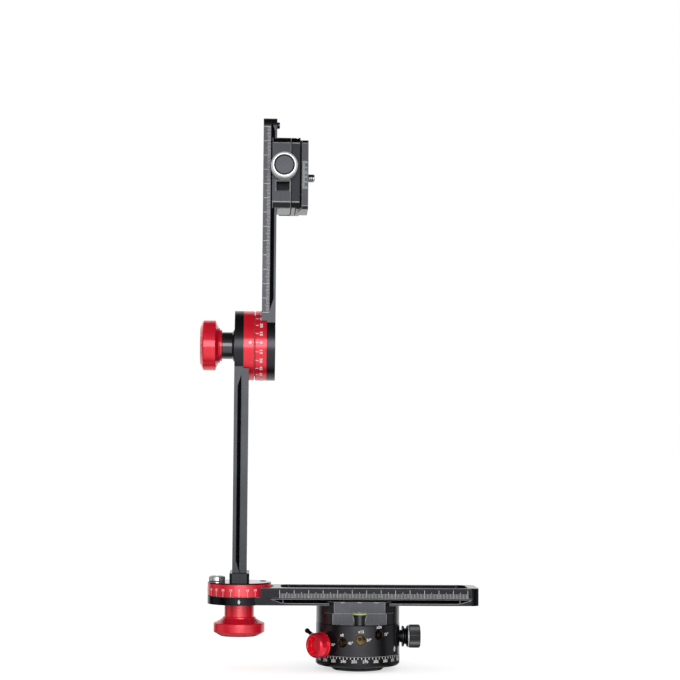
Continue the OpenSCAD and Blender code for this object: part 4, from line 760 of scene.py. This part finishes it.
screw_low, screw_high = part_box("camera_screw")
length, neck_end = screw_high.x - screw_low.x, PLATE_TOP_X + NECK_RISE - screw_low.x
shank = [(0, 0), (HEAD_R - HEAD_EASED, 0), (HEAD_R, HEAD_EASED), (HEAD_R, HEAD_H - HEAD_EASED),
         (HEAD_R - HEAD_EASED, HEAD_H), (NECK_R, HEAD_H), (NECK_R, neck_end), (NECK_R, length - TIP_EASED),
         (NECK_R - TIP_EASED, length), (0, length)]
lying = Matrix.Rotation(math.pi / 2, 4, "Y")
at_head = Matrix.Translation((screw_low.x, 0, PLATE_MID)) @ lying
core = turned_form("camera_screw_core", shank, at_head, plate_steel, "camera_screw")
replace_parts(core, "camera_screw")
at_plate = Matrix.Translation((PLATE_TOP_X, 0, PLATE_MID)) @ lying
grown("camera_screw_thread", "camera_screw", "steel", winding, at_plate, Core=SCREW_R - RIDGE_FOOT,
      Crest=SCREW_R - RIDGE_CREST, Pitch=SCREW_PITCH, Low=RIDGE_FROM,
      High=screw_high.x - PLATE_TOP_X - RIDGE_SHORT, Material=plate_steel)

# ---- Studio ----
# A pale floor runs out to a white surround. One broad soft lamp stands in front, with dark
# flags beside it, and the camera looks a little upwards from the height of the lower arm.
SURROUND, FLOOR_GLOW, FLOOR_HALF = 0.5, 0.62, 12
SKY_CARD, TABLE_CARD, SIDE_CARD, FLAG = 0.35, 1.0, 0.3, 0.02
BEHIND, IN_FRONT, BESIDE = (0.45, 0.85), (-0.97, -0.45), (0.93, 0.99)


def cards(tree, place, front_level):
    """What a reflection finds: white behind, a card in front and at each side, dark flags between."""
    way = wired(tree, "ShaderNodeVectorMath", {0: place}, operation="NORMALIZE").outputs["Vector"]
    split = wired(tree, "ShaderNodeSeparateXYZ", {0: way}).outputs
    sideways = maths(tree, "ABSOLUTE", split["X"])
    ramps = [(split["Y"], BEHIND, (FLAG, 1.0)), (split["Y"], IN_FRONT, (front_level, 0.0)),
             (sideways, BESIDE, (0.0, SIDE_CARD))]
    level = 0
    for direction, (start, end), (low, high) in ramps:
        ends = {"Value": direction, "From Min": start, "From Max": end, "To Min": low, "To Max": high}
        ramp = wired(tree, "ShaderNodeMapRange", ends, interpolation_type="SMOOTHSTEP")
        level = maths(tree, "ADD", ramp.outputs[0], level)
    return level


def any_of(tree, rays, level=0):
    """1 for the named kinds of ray, and otherwise the level."""
    path = tree.nodes.new("ShaderNodeLightPath").outputs
    for ray in rays:
        level = maths(tree, "MAXIMUM", path[ray], level)
    return level


def studio_floor():
    """White paper that glows a little where it is seen, and shows the cards in reflections."""
    material, tree, paper = new_material("studio floor")
    paper.inputs["Base Color"].default_value = (0.86, 0.86, 0.86, 1)
    paper.inputs["Roughness"].default_value = 0.9
    paper.inputs["Specular IOR Level"].default_value = 0.0
    glow = wired(tree, "ShaderNodeEmission", {"Strength": FLOOR_GLOW})
    lit = wired(tree, "ShaderNodeAddShader", {0: paper.outputs[0], 1: glow.outputs[0]})
    is_seen = any_of(tree, ("Is Camera Ray", "Is Transmission Ray"))
    seen = wired(tree, "ShaderNodeMixShader", {0: is_seen, 1: paper.outputs[0], 2: lit.outputs[0]})
    round_about = cards(tree, tree.nodes.new("ShaderNodeTexCoord").outputs["Object"], TABLE_CARD)
    mirrored = wired(tree, "ShaderNodeEmission", {"Strength": round_about})
    is_mirrored = any_of(tree, ("Is Glossy Ray",))
    whole = wired(tree, "ShaderNodeMixShader", {0: is_mirrored, 1: seen.outputs[0], 2: mirrored.outputs[0]})
    tree.links.new(whole.outputs[0], tree.nodes["Material Output"].inputs["Surface"])
    return material


floor_mesh = bpy.data.meshes.new("floor")
corners = oblong(-FLOOR_HALF, FLOOR_HALF, -FLOOR_HALF, FLOOR_HALF)
floor_mesh.from_pydata([(x, y, 0) for x, y in corners], [], [(0, 1, 2, 3)])
floor_mesh.materials.append(studio_floor())
in_scene("floor", floor_mesh)


def studio_world():
    """An even surround that is white where it is seen, and shows the cards in reflections."""
    world = bpy.data.worlds.new("studio")
    world.use_nodes = True
    sky = world.node_tree
    sky.nodes.clear()
    round_about = cards(sky, sky.nodes.new("ShaderNodeTexCoord").outputs["Generated"], SKY_CARD)
    is_mirrored = any_of(sky, ("Is Glossy Ray",))
    level = wired(sky, "ShaderNodeMix", {"Factor": is_mirrored, "A": SURROUND, "B": round_about})
    strength = any_of(sky, ("Is Camera Ray", "Is Transmission Ray"), level.outputs["Result"])
    surround = wired(sky, "ShaderNodeBackground", {"Color": (1, 1, 1, 1), "Strength": strength})
    wired(sky, "ShaderNodeOutputWorld", {"Surface": surround.outputs[0]})
    return world


bpy.context.scene.world = studio_world()


def soft_lamp(name, place, aim, width, height, power):
    """A lamp behind a sheet of diffuser, turned towards its aim."""
    lamp = bpy.data.lights.new(name, "AREA")
    lamp.shape = "RECTANGLE"
    lamp.size, lamp.size_y, lamp.energy = width, height, power
    holder = in_scene(name, lamp)
    holder.location = place
    holder.rotation_euler = (Vector(aim) - Vector(place)).to_track_quat("-Z", "Y").to_euler()


soft_lamp("front lamp", place=(0.05, -1.7, 0.35), aim=(-0.03, 0, 0.2), width=1.15, height=0.85, power=13)

YAW, PITCH, ROLL = math.radians(2.52), math.radians(3.41), math.radians(0.43)
EYE = (-0.01387, -1.3, 0.1522)
SENSOR, FOCAL_PX, FRAME_PX = 36, 1847.5, 680
NEAREST, FARTHEST = 0.05, 60
camera_data = bpy.data.cameras.new("camera")
camera_data.sensor_width = SENSOR
camera_data.lens = FOCAL_PX / FRAME_PX * SENSOR
camera_data.clip_start, camera_data.clip_end = NEAREST, FARTHEST
camera = in_scene("camera", camera_data)
right = Vector((1, 0, 0))
forward = Vector((0, math.cos(PITCH), math.sin(PITCH)))
up = Vector((0, -math.sin(PITCH), math.cos(PITCH)))
leaning_right = math.cos(ROLL) * right + math.sin(ROLL) * up
leaning_up = math.cos(ROLL) * up - math.sin(ROLL) * right
axes = Matrix((leaning_right, leaning_up, -forward)).transposed().to_4x4()
axes.translation = Vector(EYE)
camera.matrix_world = Matrix.Rotation(-YAW, 4, "Z") @ axes
bpy.context.scene.camera = camera
bpy.context.scene.view_settings.view_transform = "Standard"
